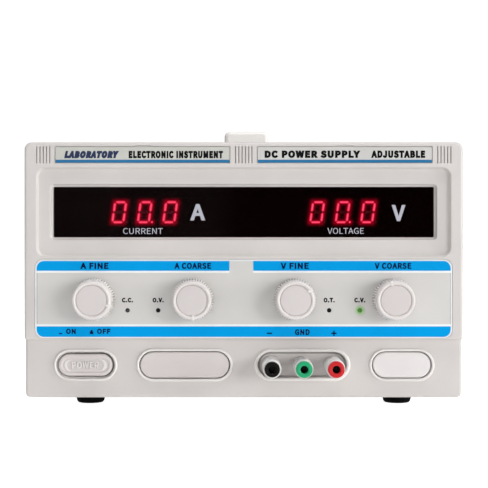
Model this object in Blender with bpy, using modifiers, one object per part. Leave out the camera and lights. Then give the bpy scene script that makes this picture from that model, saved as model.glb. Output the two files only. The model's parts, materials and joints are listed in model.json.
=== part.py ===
"""A bench power supply: two three-digit meters, four control knobs, a latching power button,
three binding posts, a strap handle, and a switching supply with its fan inside a sheet-metal case.

Every size below is in millimetres and is turned into metres where an object is made.
X is the width, Z is up, and the front faces -Y. A "depth" is measured back from the front
plane of the raised part of the front bezel, so a knob, which stands out, has a negative depth.
"""

import math

import bmesh
import bpy
from mathutils import Matrix, Vector

MM = 0.001
GAP = 0.3

# Overall sizes
BEZEL_WIDTH = 268.0
BEZEL_BOTTOM = 7.5
BEZEL_TOP = 164.0
BEZEL_DEPTH = 28.0
BEZEL_WALL = 3.0
REAR_FACE = 330.0
FRONT_MOST = -23.0
REAR_MOST = 342.0
MIDDLE_DEPTH = (FRONT_MOST + REAR_MOST) / 2
SHEET = 1.2

# Front bezel: a raised upper frame over a set-back lower band
STEP_HEIGHT = 43.2
LOWER_PLANE = 5.0
LOWER_INSET = 0.3
CORNER = 5.0
CAVITY_FRONT = 8.0
CAVITY_HALF_WIDTH = BEZEL_WIDTH / 2 - BEZEL_WALL
CAVITY_BOTTOM = BEZEL_BOTTOM + BEZEL_WALL
CAVITY_TOP = BEZEL_TOP - BEZEL_WALL

# Display recess, its inner step and the window
RECESS = (252.8, 54.0)
RECESS_Z = 121.2
RECESS_DEPTH = 4.0
SURROUND = (237.5, 34.2)
SURROUND_DEPTH = 5.3
WINDOW = (233.4, 30.8)
WINDOW_Z = 121.4
WINDOW_DEPTH = (5.4, 6.8)
DISPLAY_X = 61.0
DISPLAY_SIZE = (47.8, 19.0)

# Name plates and the grooves beside them
PLATE_X = 61.75
PLATE_Z = 156.25
PLATE = (106.4, 9.7)
GROOVE_PITCH = 2.0
GROOVE = (0.9, 10.5)
SIDE_GROOVES_X = 122.4

# Control overlay, knobs and indicator lamps
OVERLAY = (254.6, 47.2)
OVERLAY_Z = 68.5
KNOB_X = {"current_fine": -91.1, "current_coarse": -31.1, "voltage_fine": 31.1, "voltage_coarse": 91.1}
KNOB_Z = 68.0
KNOB_POINTER = {"current_fine": 108, "current_coarse": 176, "voltage_fine": 56, "voltage_coarse": -14}
KNOB_FRONT = -17.0
LAMP_X = {"current_limit": -70.9, "over_voltage": -52.2, "over_heat": 52.2, "voltage_hold": 70.9}
LAMP_Z = 61.3

# Oblong openings in the lower band: name: (x, width and height of the opening, and of its rim)
OBLONG_Z = 27.6
BUTTON_X = -97.0
WIDE_X = -36.2
POSTS_X = 36.0
NARROW_X = 97.0
OPENINGS = {
    "button": (BUTTON_X, (34.7, 15.1), (38.7, 19.3)),
    "wide": (WIDE_X, (55.7, 17.0), (59.2, 20.2)),
    "posts": (POSTS_X, (55.3, 16.4), (59.0, 20.0)),
    "narrow": (NARROW_X, (36.7, 16.8), (40.2, 20.0)),
}
RIM_FRONT = 4.0
BUTTON = (33.6, 13.9)
POCKET_FLOOR = 8.0

# Binding posts
POST_PITCH = 19.05
POST_Z = 27.2
POST_X = {"negative": POSTS_X - POST_PITCH, "ground": POSTS_X, "positive": POSTS_X + POST_PITCH}

# Case, feet and rear fittings
CASE_HALF_WIDTH = CAVITY_HALF_WIDTH - GAP
CASE_BOTTOM = CAVITY_BOTTOM + GAP
CASE_TOP = CAVITY_TOP - GAP
COVER_FRONT = 25.0
FOOT_X = 98.6
FOOT_DEPTHS = {"front": 45.0, "rear": 300.0}
FAN_X, FAN_Z, FAN_SIZE, FAN_BORE = -60.0, 88.0, 80.0, 38.0
FAN_DEPTH = (303.5, 328.5)
INLET_X, INLET_Z = 78.0, 48.0
INLET_CUTOUT = (28.6, 21.2)
FUSE_X, FUSE_Z = 30.0, 48.0
BOARD_Z = 18.0

# Strap handle: its caps, the links that tilt, and the grip between them
HANDLE_X = 1.5
HANDLE_MIDDLE = 170.0
HANDLE_CAP = (27.7, 30.0, 14.5)
CAP_CENTRE = 111.0
STRAP_WIDTH = 23.5
STRAP_Z = (CASE_TOP + 5.2, CASE_TOP + 10.2)
GRIP_HALF = 54.0
LINK_LENGTH = 50.0

MATERIALS = {
    "case_plastic": ((0.62, 0.59, 0.575), 0.5, 0.0),
    "bright_plastic": ((0.78, 0.755, 0.75), 0.42, 0.0),
    "cover_paint": ((0.62, 0.60, 0.58), 0.55, 0.0),
    "steel": ((0.56, 0.57, 0.58), 0.35, 1.0),
    "window": ((0.012, 0.002, 0.003), 0.08, 0.0),
    "plate_print": ((0.60, 0.61, 0.57), 0.3, 0.0),
    "overlay_film": ((0.60, 0.60, 0.585), 0.45, 0.0),
    "brass": ((0.70, 0.56, 0.30), 0.28, 1.0),
    "post_black": ((0.012, 0.011, 0.012), 0.35, 0.0),
    "post_green": ((0.04, 0.40, 0.18), 0.35, 0.0),
    "post_red": ((0.55, 0.02, 0.02), 0.35, 0.0),
    "lamp_off": ((0.05, 0.05, 0.05), 0.25, 0.0),
    "lamp_green": ((0.15, 0.75, 0.12), 0.25, 0.0),
    "digit_face": ((0.02, 0.02, 0.02), 0.5, 0.0),
    "board": ((0.03, 0.16, 0.07), 0.45, 0.0),
    "black_plastic": ((0.02, 0.02, 0.022), 0.45, 0.0),
    "aluminium": ((0.72, 0.73, 0.74), 0.4, 1.0),
    "ferrite": ((0.06, 0.06, 0.065), 0.7, 0.0),
    "capacitor": ((0.03, 0.05, 0.14), 0.35, 0.0),
    "copper": ((0.72, 0.33, 0.16), 0.35, 1.0),
    "rubber": ((0.012, 0.012, 0.012), 0.8, 0.0),
}


def clear_scene():
    """Removes the objects of the scene that is open."""
    for obj in list(bpy.data.objects):
        bpy.data.objects.remove(obj, do_unlink=True)


def collection(name):
    """A new collection in the scene."""
    made = bpy.data.collections.new(name)
    bpy.context.scene.collection.children.link(made)
    return made


clear_scene()
PARTS = collection("bench_power_supply")
CUTTERS = collection("cutters")


def material(name):
    """The named Principled material, made once."""
    found = bpy.data.materials.get(name)
    if found:
        return found
    colour, roughness, metallic = MATERIALS[name]
    made = bpy.data.materials.new(name)
    made.use_nodes = True
    shader = made.node_tree.nodes["Principled BSDF"]
    shader.inputs["Base Color"].default_value = (*colour, 1)
    shader.inputs["Roughness"].default_value = roughness
    shader.inputs["Metallic"].default_value = metallic
    return made


def y_of(depth):
    """The world Y, in millimetres, of a depth behind the bezel's front plane."""
    return depth - MIDDLE_DEPTH


def add(name, mesh, finish=None):
    """A part if it has a finish, or else a cutter that no render shows."""
    obj = bpy.data.objects.new(name, mesh)
    if finish is None:
        CUTTERS.objects.link(obj)
        obj.hide_render = True
        obj.display_type = "WIRE"
    else:
        PARTS.objects.link(obj)
        mesh.materials.append(material(finish))
    return obj


def move_origin(obj, x, depth, z):
    """Puts the object's origin at a point and leaves its shape where it is."""
    target = Vector((x, y_of(depth), z)) * MM
    offset = obj.matrix_basis.inverted() @ target
    obj.data.transform(Matrix.Translation(-offset))
    obj.matrix_basis = obj.matrix_basis @ Matrix.Translation(offset)


def round_edges(obj, width, segments=2):
    """Rounds the object's sharp edges."""
    bevel = obj.modifiers.new("round", "BEVEL")
    bevel.width = width * MM
    bevel.segments = segments
    bevel.limit_method = "ANGLE"
    bevel.angle_limit = math.radians(50)
    return obj


def join_or_cut(obj, operation, tools):
    """Unites the tools with the object, or cuts them from it, in one Boolean."""
    group = bpy.data.collections.new(obj.name + "_" + operation.lower())
    CUTTERS.children.link(group)
    for tool in tools:
        CUTTERS.objects.unlink(tool)
        group.objects.link(tool)
    boolean = obj.modifiers.new(operation.lower(), "BOOLEAN")
    boolean.operation = operation
    boolean.operand_type = "COLLECTION"
    boolean.collection = group
    return obj


def cut(obj, *tools):
    """Takes the tools out of the object."""
    return join_or_cut(obj, "DIFFERENCE", tools)


def join(obj, *tools):
    """Makes the tools one body with the object."""
    return join_or_cut(obj, "UNION", tools)


def block(name, x, depth, z, finish=None, edge=0.0):
    """A box between two X, two depths and two heights."""
    sides = [(b - a) * MM for a, b in (x, depth, z)]
    middle = [sum(x) / 2 * MM, y_of(sum(depth) / 2) * MM, sum(z) / 2 * MM]
    shape = bmesh.new()
    bmesh.ops.create_cube(shape, size=1)
    bmesh.ops.scale(shape, vec=sides, verts=shape.verts)
    mesh = bpy.data.meshes.new(name)
    shape.to_mesh(mesh)
    shape.free()
    obj = add(name, mesh, finish)
    obj.location = middle
    return round_edges(obj, edge) if edge else obj


def rounded(width, height, radius, x=0.0, z=0.0, steps=4):
    """The outline of a rounded rectangle, anticlockwise."""
    points = []
    corners = ((1, 1, 0), (-1, 1, 90), (-1, -1, 180), (1, -1, 270))
    for side_x, side_z, start in corners:
        middle_x = x + side_x * (width / 2 - radius)
        middle_z = z + side_z * (height / 2 - radius)
        for step in range(steps + 1):
            angle = math.radians(start + 90 * step / steps)
            points.append((middle_x + radius * math.cos(angle), middle_z + radius * math.sin(angle)))
    return points


def oblong(width, height, x=0.0, z=OBLONG_Z, steps=6):
    """The outline of a bar with round ends."""
    end = height / 2
    points = []
    for side, start in ((1, -90), (-1, 90)):
        for step in range(2 * steps + 1):
            angle = math.radians(start + 180 * step / (2 * steps))
            points.append((x + side * (width / 2 - end) + end * math.cos(angle), z + end * math.sin(angle)))
    return points


def circle(radius, x, z, steps=24):
    """The outline of a circle."""
    angles = [math.tau * step / steps for step in range(steps)]
    return [(x + radius * math.cos(angle), z + radius * math.sin(angle)) for angle in angles]


def plate(name, outline, depth, finish=None, holes=(), edge=0.0):
    """A flat piece: an outline in X and Z with its holes, given a thickness between two depths."""
    curve = bpy.data.curves.new(name, "CURVE")
    curve.dimensions = "2D"
    curve.fill_mode = "BOTH"
    curve.extrude = (depth[1] - depth[0]) / 2 * MM
    for points in (outline, *holes):
        spline = curve.splines.new("POLY")
        spline.points.add(len(points) - 1)
        for point, (x, z) in zip(spline.points, points):
            point.co = (x * MM, z * MM, 0, 1)
        spline.use_cyclic_u = True
    shape = bpy.data.objects.new(name + "_outline", curve)
    bpy.context.scene.collection.objects.link(shape)
    shape.rotation_euler.x = math.pi / 2
    shape.location.y = y_of(sum(depth) / 2) * MM
    bpy.context.view_layer.update()
    mesh = bpy.data.meshes.new_from_object(shape.evaluated_get(bpy.context.evaluated_depsgraph_get()))
    place = shape.matrix_world.copy()
    bpy.data.objects.remove(shape)
    welded = bmesh.new()
    welded.from_mesh(mesh)
    bmesh.ops.remove_doubles(welded, verts=welded.verts, dist=0.00001)
    bmesh.ops.recalc_face_normals(welded, faces=welded.faces)
    bmesh.ops.dissolve_limit(welded, angle_limit=0.001, verts=welded.verts, edges=welded.edges)
    welded.to_mesh(mesh)
    welded.free()
    mesh.name = name
    mesh.materials.clear()
    obj = add(name, mesh, finish)
    obj.matrix_world = place
    return round_edges(obj, edge) if edge else obj


def turned(name, x, z, profile, finish=None, sides=24, upright=False):
    """A shape turned from (radius, depth) points that run from its front to its back.

    The axis runs along Y through x and z. If upright, the points are (radius, height) from the
    top down, and the axis stands at x and, as z, at that depth.
    """
    heights = [height if upright else -height for _, height in profile]
    mesh = bpy.data.meshes.new(name)
    points = [(radius * MM, 0, height * MM) for (radius, _), height in zip(profile, heights)]
    mesh.from_pydata(points, [(i, i + 1) for i in range(len(points) - 1)], [])
    obj = add(name, mesh, finish)
    screw = obj.modifiers.new("turn", "SCREW")
    screw.steps = screw.render_steps = sides
    screw.use_merge_vertices = True
    screw.merge_threshold = 0.00001
    if upright:
        obj.location = (x * MM, y_of(z) * MM, 0)
    else:
        obj.location = (x * MM, y_of(0) * MM, z * MM)
        obj.rotation_euler.x = math.pi / 2
    return obj


def rod(name, x, z, radius, depth, finish=None, sides=24):
    """A round bar along Y."""
    front, back = depth
    return turned(name, x, z, [(0, front), (radius, front), (radius, back), (0, back)], finish, sides)


def front_bezel():
    """The moulded front: a raised frame on a hollow shell, with its recesses, pockets and openings."""
    height = BEZEL_TOP - BEZEL_BOTTOM
    shell_outline = rounded(
        BEZEL_WIDTH - 2 * LOWER_INSET, height - LOWER_INSET, CORNER,
        z=(BEZEL_TOP + BEZEL_BOTTOM - LOWER_INSET) / 2,
    )
    bezel = plate("front_bezel", shell_outline, (LOWER_PLANE, BEZEL_DEPTH), "case_plastic", edge=1.8)

    raised_outline = rounded(
        BEZEL_WIDTH, BEZEL_TOP - STEP_HEIGHT, CORNER, z=(BEZEL_TOP + STEP_HEIGHT) / 2
    )
    raised = plate("raised_frame", raised_outline, (0, CAVITY_FRONT + 4), edge=1.8)
    rims = [
        plate("rim_" + name, oblong(*rim, x=x), (RIM_FRONT, LOWER_PLANE + 1), edge=0.6)
        for name, (x, _, rim) in OPENINGS.items()
    ]
    join(bezel, raised, *rims)

    cavity = block(
        "shell_cavity",
        (-CAVITY_HALF_WIDTH, CAVITY_HALF_WIDTH),
        (CAVITY_FRONT, BEZEL_DEPTH + 5),
        (CAVITY_BOTTOM, CAVITY_TOP),
    )
    control_cavity = block("control_cavity", (-129.5, 129.5), (BEZEL_WALL, CAVITY_FRONT + 1), (47.0, 90.5))
    plate_cavity = block("plate_cavity", (-128.5, 128.5), (3.6, CAVITY_FRONT + 1), (151.6, 160.0))
    cut(bezel, cavity, control_cavity, plate_cavity)

    pocket_boss = plate("pocket_boss", oblong(60.5, 21.5, x=POSTS_X), (CAVITY_FRONT - 0.6, POCKET_FLOOR + 3))
    join(bezel, pocket_boss)

    recess = plate("recess", rounded(*RECESS, 5.0, z=RECESS_Z), (-2, RECESS_DEPTH))
    surround = plate("surround", rounded(*SURROUND, 2.4, z=WINDOW_Z), (-2, SURROUND_DEPTH))
    seat_size = (WINDOW[0] + 2 * GAP, WINDOW[1] + 2 * GAP)
    seat = plate("window_seat", rounded(*seat_size, 1.0, z=WINDOW_Z, steps=2), (-2, WINDOW_DEPTH[1] + GAP))
    window_hole = plate("window_hole", rounded(228.0, 26.0, 1.0, z=WINDOW_Z, steps=2), (-2, 12))
    overlay_seat = plate(
        "overlay_seat",
        rounded(OVERLAY[0] + 2 * GAP, OVERLAY[1] + 2 * GAP, 5.3, z=OVERLAY_Z),
        (-2, 0.8),
    )
    plate_seats = [
        block(
            "plate_seat",
            (x - PLATE[0] / 2 - GAP, x + PLATE[0] / 2 + GAP),
            (-2, 1.2),
            (PLATE_Z - PLATE[1] / 2 - GAP, PLATE_Z + PLATE[1] / 2 + GAP),
        )
        for x in (-PLATE_X, PLATE_X)
    ]
    grooves = []
    for middle, count in ((-SIDE_GROOVES_X, 5), (0.0, 6), (SIDE_GROOVES_X, 5)):
        for index in range(count):
            x = middle + GROOVE_PITCH * (index - (count - 1) / 2)
            grooves.append(
                block(
                    "groove",
                    (x - GROOVE[0] / 2, x + GROOVE[0] / 2),
                    (-2, 0.8),
                    (PLATE_Z - GROOVE[1] / 2, PLATE_Z + GROOVE[1] / 2),
                )
            )
    knob_holes = [rod("knob_hole", x, KNOB_Z, 4.0, (-2, 5), sides=16) for x in KNOB_X.values()]
    lamp_holes = [rod("lamp_hole", x, LAMP_Z, 1.8, (-2, 5), sides=12) for x in LAMP_X.values()]
    openings = [
        plate("opening_" + name, oblong(*size, x=x), (-2, POCKET_FLOOR if name == "posts" else 12))
        for name, (x, size, _) in OPENINGS.items()
    ]
    post_holes = [rod("post_hole", x, POST_Z, 3.5, (5, 14), sides=16) for x in POST_X.values()]
    cut(
        bezel, recess, surround, seat, window_hole, overlay_seat, *plate_seats, *grooves,
        *knob_holes, *lamp_holes, *openings, *post_holes,
    )


def front_trim():
    """The flat pieces set into the bezel: window, name plates, control overlay and blank covers."""
    plate("display_window", rounded(*WINDOW, 0.8, z=WINDOW_Z, steps=2), WINDOW_DEPTH, "window")
    for side, x in (("left", -PLATE_X), ("right", PLATE_X)):
        half, low, high = PLATE[0] / 2, PLATE_Z - PLATE[1] / 2, PLATE_Z + PLATE[1] / 2
        block("name_plate_" + side, (x - half, x + half), (0.2, 0.9), (low, high), "plate_print")
    knob_holes = [circle(4.6, x, KNOB_Z, 16) for x in KNOB_X.values()]
    lamp_holes = [circle(1.8, x, LAMP_Z, 12) for x in LAMP_X.values()]
    plate(
        "control_overlay", rounded(*OVERLAY, 5.0, z=OVERLAY_Z), (0, 0.5), "overlay_film",
        holes=knob_holes + lamp_holes,
    )
    for name, x, size, finish in (
        ("blank_cover_wide", WIDE_X, (55.0, 16.3), "case_plastic"),
        ("blank_cover_narrow", NARROW_X, (36.0, 16.1), "bright_plastic"),
    ):
        cover = plate(name, oblong(*size, x=x), (4.2, 6.4), finish, edge=0.5)
        skirt = plate(name + "_skirt", oblong(size[0] - 3, size[1] - 3, x=x), (6, 9.5))
        join(cover, skirt)


def meters():
    """The two three-digit displays and the board that carries them."""
    for name, x in (("current_display", -DISPLAY_X), ("voltage_display", DISPLAY_X)):
        half_width, half_height = DISPLAY_SIZE[0] / 2, DISPLAY_SIZE[1] / 2
        block(
            name, (x - half_width, x + half_width), (8.4, 13.6),
            (WINDOW_Z - half_height, WINDOW_Z + half_height), "digit_face",
        )
    block("front_board", (-118, 118), (14, 15.6), (50, 148), "board")


def lamps():
    """The four 3 mm indicator lamps, each on its leads in front of the board."""
    for name, x in LAMP_X.items():
        profile = [(0, 0.3), (0.8, 0.6), (1.5, 1.6), (1.5, 3.3), (1.9, 3.3), (1.9, 4.3), (0.8, 4.3)]
        profile += [(0.8, 13.7), (0, 13.7)]
        turned("lamp_" + name, x, LAMP_Z, profile, "lamp_green" if name == "voltage_hold" else "lamp_off", 12)


def controls():
    """For each control: its knob, the shaft that turns with it and the fixed potentiometer."""
    for name, x in KNOB_X.items():
        knob_profile = [
            (0, KNOB_FRONT + 0.6), (8.8, KNOB_FRONT + 0.6), (9.4, KNOB_FRONT), (11.0, KNOB_FRONT),
            (11.6, KNOB_FRONT + 0.7), (12.5, -0.7), (5.0, -0.7), (5.0, -5.2), (2.8, -5.2), (2.8, -13.6),
            (0, -13.6),
        ]
        knob = turned("knob_" + name, x, KNOB_Z, knob_profile, "case_plastic")
        turn = Matrix.Rotation(-math.radians(KNOB_POINTER[name]), 4, "Z")
        knob.matrix_world = knob.matrix_basis @ turn
        pointer = block(name + "_pointer", (-0.8, 0.8), (KNOB_FRONT - 0.3, KNOB_FRONT + 3), (7.6, 12.2))
        about_y = Matrix.Rotation(math.radians(KNOB_POINTER[name]), 4, "Y")
        to_knob = Matrix.Translation((x * MM, 0, KNOB_Z * MM))
        pointer.matrix_world = to_knob @ about_y @ pointer.matrix_basis
        join(knob, pointer)

        rod("shaft_" + name, x, KNOB_Z, 2.5, (-13.2, 8.0), "steel", 16)
        pot_profile = [
            (0, 9.0), (2.8, 9.0), (2.8, -4.6), (3.6, -4.6), (3.6, BEZEL_WALL + GAP),
            (8.2, BEZEL_WALL + GAP), (8.2, 12.0), (0, 12.0),
        ]
        turned("potentiometer_" + name, x, KNOB_Z, pot_profile, "steel", 16)


def power_control():
    """The latching power button, shown pressed in, and the switch behind it."""
    button = plate("power_button", oblong(*BUTTON, x=BUTTON_X), (3.4, 9.0), "case_plastic", edge=0.9)
    move_origin(button, BUTTON_X, 3.4, OBLONG_Z)
    stem = block("stem", (BUTTON_X - 4, BUTTON_X + 4), (8.5, 21.5), (OBLONG_Z - 4, OBLONG_Z + 4))
    join(button, stem)
    body = (BUTTON_X - 9, BUTTON_X + 9)
    block("power_switch", body, (24, 46), (OBLONG_Z - 10, OBLONG_Z + 10), "black_plastic", edge=0.8)


def binding_posts():
    """For each post: its socketed stud, the clamp washer and the knurled cap that screws down on it."""
    for name, x in POST_X.items():
        stud_profile = [
            (0, -1.0), (2.05, -1.0), (2.05, -19.6), (3.0, -19.6), (3.0, 4.4), (5.6, 4.4), (5.6, 7.7),
            (3.0, 7.7), (3.0, 11.3), (5.0, 11.3), (5.0, 14.6), (3.0, 14.6), (3.0, 24.0), (0, 24.0),
        ]
        turned("post_stud_" + name, x, POST_Z, stud_profile, "brass", 16)
        washer_profile = [(3.3, 3.4), (4.7, 3.4), (4.7, 4.1), (3.3, 4.1), (3.3, 3.4)]
        turned("post_washer_" + name, x, POST_Z, washer_profile, "steel", 16)
        cap_profile = [
            (2.6, FRONT_MOST), (4.9, FRONT_MOST), (5.2, FRONT_MOST + 0.6), (5.2, FRONT_MOST + 6),
            (5.5, FRONT_MOST + 6), (5.5, 3.1), (3.3, 3.1), (3.3, -20.0), (2.6, -20.0), (2.6, FRONT_MOST),
        ]
        finish = {"negative": "post_black", "ground": "post_green", "positive": "post_red"}[name]
        turned("post_cap_" + name, x, POST_Z, cap_profile, finish, 20)


def case():
    """The sheet-metal case: an upper cover folded over a lower tray, and the rear panel."""
    outer, inner = CASE_HALF_WIDTH, CASE_HALF_WIDTH - SHEET
    cover_outline = [
        (outer, CASE_BOTTOM), (outer, CASE_TOP - 2), (outer - 2, CASE_TOP), (2 - outer, CASE_TOP),
        (-outer, CASE_TOP - 2), (-outer, CASE_BOTTOM), (-inner, CASE_BOTTOM), (-inner, CASE_TOP - SHEET),
        (inner, CASE_TOP - SHEET), (inner, CASE_BOTTOM),
    ]
    cover = plate("top_cover", cover_outline, (COVER_FRONT, REAR_FACE), "cover_paint")
    slots = []
    for side in (-1, 1):
        wall = sorted((side * (outer + 2), side * (inner - 2)))
        for first_depth in (60.0, 236.0):
            for index in range(9):
                depth = first_depth + 7.0 * index
                slots.append(block("side_slot", wall, (depth, depth + 3.0), (62.0, 112.0)))
    cut(cover, *slots)

    tray_side, tray_top = inner - GAP, CASE_BOTTOM + 14
    tray_outline = [
        (tray_side, CASE_BOTTOM), (tray_side, tray_top), (tray_side - SHEET, tray_top),
        (tray_side - SHEET, CASE_BOTTOM + SHEET), (SHEET - tray_side, CASE_BOTTOM + SHEET),
        (SHEET - tray_side, tray_top), (-tray_side, tray_top), (-tray_side, CASE_BOTTOM),
    ]
    plate("chassis_tray", tray_outline, (COVER_FRONT, REAR_FACE - SHEET - GAP), "steel")

    panel_half, panel_low, panel_high = inner - GAP, CASE_BOTTOM + 0.2, CASE_TOP - SHEET - GAP
    panel_outline = [
        (panel_half, panel_low), (panel_half, panel_high), (-panel_half, panel_high), (-panel_half, panel_low)
    ]
    vents = [rounded(3.0, 30.0, 1.4, x=26.0 + 7.0 * index, z=120.0, steps=1) for index in range(12)]
    holes = [
        circle(FAN_BORE, FAN_X, FAN_Z, 32),
        rounded(*INLET_CUTOUT, 1.0, x=INLET_X, z=INLET_Z, steps=1),
        circle(6.3, FUSE_X, FUSE_Z, 16),
        *vents,
    ]
    plate("rear_panel", panel_outline, (REAR_FACE - SHEET, REAR_FACE), "cover_paint", holes)


def feet():
    """Four tapered rubber feet under the tray."""
    for end, depth in FOOT_DEPTHS.items():
        for side, x in (("left", -FOOT_X), ("right", FOOT_X)):
            top = CASE_BOTTOM - GAP
            profile = [(0, top), (9.2, top), (8.8, 3.4), (7.8, 0.8), (7.0, 0), (0, 0)]
            turned("foot_" + end + "_" + side, x, depth, profile, "rubber", 20, upright=True)


def cooling_fan():
    """The fan's frame with its motor mount, the bladed rotor, and the stamped finger guard."""
    front, back = FAN_DEPTH
    half = FAN_SIZE / 2
    frame_outline = rounded(FAN_SIZE, FAN_SIZE, 4.0, FAN_X, FAN_Z, 2)
    frame = plate("fan_frame", frame_outline, FAN_DEPTH, "black_plastic", [circle(FAN_BORE, FAN_X, FAN_Z, 32)])
    mount = rod("motor_mount", FAN_X, FAN_Z, 14.0, (front, front + 3), sides=20)
    struts = [
        block("strut", (FAN_X - half + 1, FAN_X + half - 1), (front + 0.4, front + 2.4), (FAN_Z - 2, FAN_Z + 2)),
        block("strut", (FAN_X - 2, FAN_X + 2), (front + 0.6, front + 2.6), (FAN_Z - half + 1, FAN_Z + half - 1)),
    ]
    join(frame, mount, *struts)

    hub_front = front + 4
    hub = rod("fan_rotor", FAN_X, FAN_Z, 16.0, (hub_front, back - 4), "black_plastic", 24)
    blades = []
    for index in range(7):
        blade = block("blade", (-7, 7), (hub_front + 8, hub_front + 9.6), (14, 36))
        pitch = Matrix.Rotation(math.radians(38), 4, "Z")
        spin = Matrix.Rotation(math.tau * index / 7, 4, "Y")
        middle = Matrix.Translation((0, blade.location.y, 0))
        place = Matrix.Translation((FAN_X * MM, 0, FAN_Z * MM))
        blade.matrix_world = place @ spin @ middle @ pitch @ middle.inverted() @ blade.matrix_basis
        blades.append(blade)
    join(hub, *blades)

    slots = []
    for inner_radius in (10.0, 17.5, 25.0, 32.5):
        outer_radius = inner_radius + 5.5
        for quarter in range(4):
            start = math.radians(90 * quarter + 45) + 1.6 / inner_radius
            sweep = math.pi / 2 - 3.2 / inner_radius
            steps = 5
            arc = [start + sweep * step / steps for step in range(steps + 1)]
            outline = [(FAN_X + outer_radius * math.cos(a), FAN_Z + outer_radius * math.sin(a)) for a in arc]
            outline += [
                (FAN_X + inner_radius * math.cos(a), FAN_Z + inner_radius * math.sin(a)) for a in reversed(arc)
            ]
            slots.append(outline)
    guard_outline = rounded(FAN_SIZE, FAN_SIZE, 4.0, FAN_X, FAN_Z, 2)
    plate("fan_guard", guard_outline, (REAR_FACE + GAP, REAR_FACE + 1.8), "steel", slots)


def rear_fittings():
    """The mains inlet with its pins, and the fuse holder with its bayonet cap."""
    flange = plate(
        "mains_inlet", rounded(50.0, 24.0, 4.0, INLET_X, INLET_Z), (REAR_FACE + GAP, REAR_FACE + 3), "black_plastic"
    )
    housing_x = (INLET_X - 13.5, INLET_X + 13.5)
    housing_z = (INLET_Z - 9.8, INLET_Z + 9.8)
    housing = block("inlet_housing", housing_x, (308, REAR_FACE + 1), housing_z)
    join(flange, housing)
    cavity = plate("inlet_cavity", rounded(24.2, 16.4, 2.0, INLET_X, INLET_Z, 2), (314, REAR_FACE + 5))
    cut(flange, cavity)
    pins = [
        block("pin", (INLET_X + dx - 1, INLET_X + dx + 1), (312, REAR_FACE - 1), (INLET_Z + dz - 2, INLET_Z + dz + 2))
        for dx, dz in ((-7, -2), (0, 2), (7, -2))
    ]
    join(flange, *pins)

    holder_profile = [
        (0, 306), (6.0, 306), (6.0, REAR_FACE + GAP), (8.2, REAR_FACE + GAP), (8.2, REAR_FACE + 2.2),
        (5.0, REAR_FACE + 2.2), (5.0, 312), (0, 312),
    ]
    turned("fuse_holder", FUSE_X, FUSE_Z, holder_profile, "black_plastic", 20)
    fuse_cap_profile = [(0, 313), (4.4, 313), (4.4, REAR_FACE + 2.5), (6.6, REAR_FACE + 2.5), (6.6, REAR_MOST)]
    fuse_cap_profile += [(0, REAR_MOST)]
    fuse_cap = turned("fuse_cap", FUSE_X, FUSE_Z, fuse_cap_profile, "black_plastic", 20)
    slot = block("coin_slot", (FUSE_X - 8, FUSE_X + 8), (REAR_MOST - 1.5, REAR_MOST + 1), (FUSE_Z - 0.7, FUSE_Z + 0.7))
    cut(fuse_cap, slot)


def power_stage():
    """What makes the power inside: the board, its heat sink, transformer, capacitor and choke."""
    block("main_board", (-105, 105), (60, 285), (BOARD_Z, BOARD_Z + 1.6), "board")
    floor = BOARD_Z + 1.6 + GAP
    fins = []
    for index in range(6):
        z = floor + 8 + 9 * index
        fins += [(66, z), (86, z), (86, z + 3), (66, z + 3)]
    heatsink_outline = [(60, floor), (66, floor), *fins, (66, floor + 60), (60, floor + 60)]
    plate("heatsink", heatsink_outline, (80, 230), "aluminium")
    core = block("transformer", (-24, 24), (150, 190), (floor, floor + 40), "ferrite")
    winding = block("winding", (-16, 16), (144, 196), (floor + 6, floor + 34))
    join(core, winding)
    height = floor + 46
    turned(
        "capacitor", -60, 120, [(0, height), (14, height), (15, height - 1), (15, floor), (0, floor)],
        "capacitor", 24, upright=True,
    )
    choke_profile = [(9, floor + 16), (18, floor + 16), (19, floor + 14), (19, floor), (9, floor), (9, floor + 16)]
    turned("output_choke", -40, 235, choke_profile, "copper", 24, upright=True)


def strap_handle():
    """The strap handle: two fixed caps, a grip that lifts, and a link at each end of the grip."""
    width, length, height = HANDLE_CAP
    base = CASE_TOP + GAP
    for name, side in (("handle_cap_front", -1), ("handle_cap_rear", 1)):
        middle = HANDLE_MIDDLE + side * CAP_CENTRE
        ends = (middle - length / 2, middle + length / 2)
        cap = block(
            name, (HANDLE_X - width / 2, HANDLE_X + width / 2), ends, (base, base + height), "bright_plastic", edge=2
        )
        mouth = middle - side * (length / 2 + 3)
        pocket_end = middle + side * (length / 2 - 3)
        pocket = block(
            name + "_pocket", (HANDLE_X - 12.4, HANDLE_X + 12.4), sorted((mouth, pocket_end)),
            (base - 2, base + height - 1.8),
        )
        cut(cap, pocket)
    strap_x = (HANDLE_X - STRAP_WIDTH / 2, HANDLE_X + STRAP_WIDTH / 2)
    grip_ends = (HANDLE_MIDDLE - GRIP_HALF, HANDLE_MIDDLE + GRIP_HALF)
    block("handle_grip", strap_x, grip_ends, STRAP_Z, "bright_plastic")
    for end, hinge, side in (("front", grip_ends[0], -1), ("rear", grip_ends[1], 1)):
        depths = sorted((hinge + side * GAP, hinge + side * LINK_LENGTH))
        link = block("handle_link_" + end, strap_x, depths, STRAP_Z, "bright_plastic")
        move_origin(link, HANDLE_X, hinge, STRAP_Z[0])


def shade_round_pieces():
    """Shades the curved faces smooth and keeps the sharp edges."""
    for obj in PARTS.objects:
        obj.data.shade_smooth()
        obj.data.set_sharp_from_angle(angle=math.radians(35))


front_bezel()
front_trim()
meters()
lamps()
controls()
power_control()
binding_posts()
case()
feet()
cooling_fan()
rear_fittings()
power_stage()
strap_handle()
shade_round_pieces()
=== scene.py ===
"""The finished look of the bench power supply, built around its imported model.

Shapes are modelled in millimetres. X is the width and Z is up, as in the frame, and "depth" is
measured back from the front plane of the bezel's raised upper frame. finish_piece() turns a shape
into an object in the frame's metres, gives it a finish and lets it ride on its body.
"""

import json
import math
import os

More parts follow.
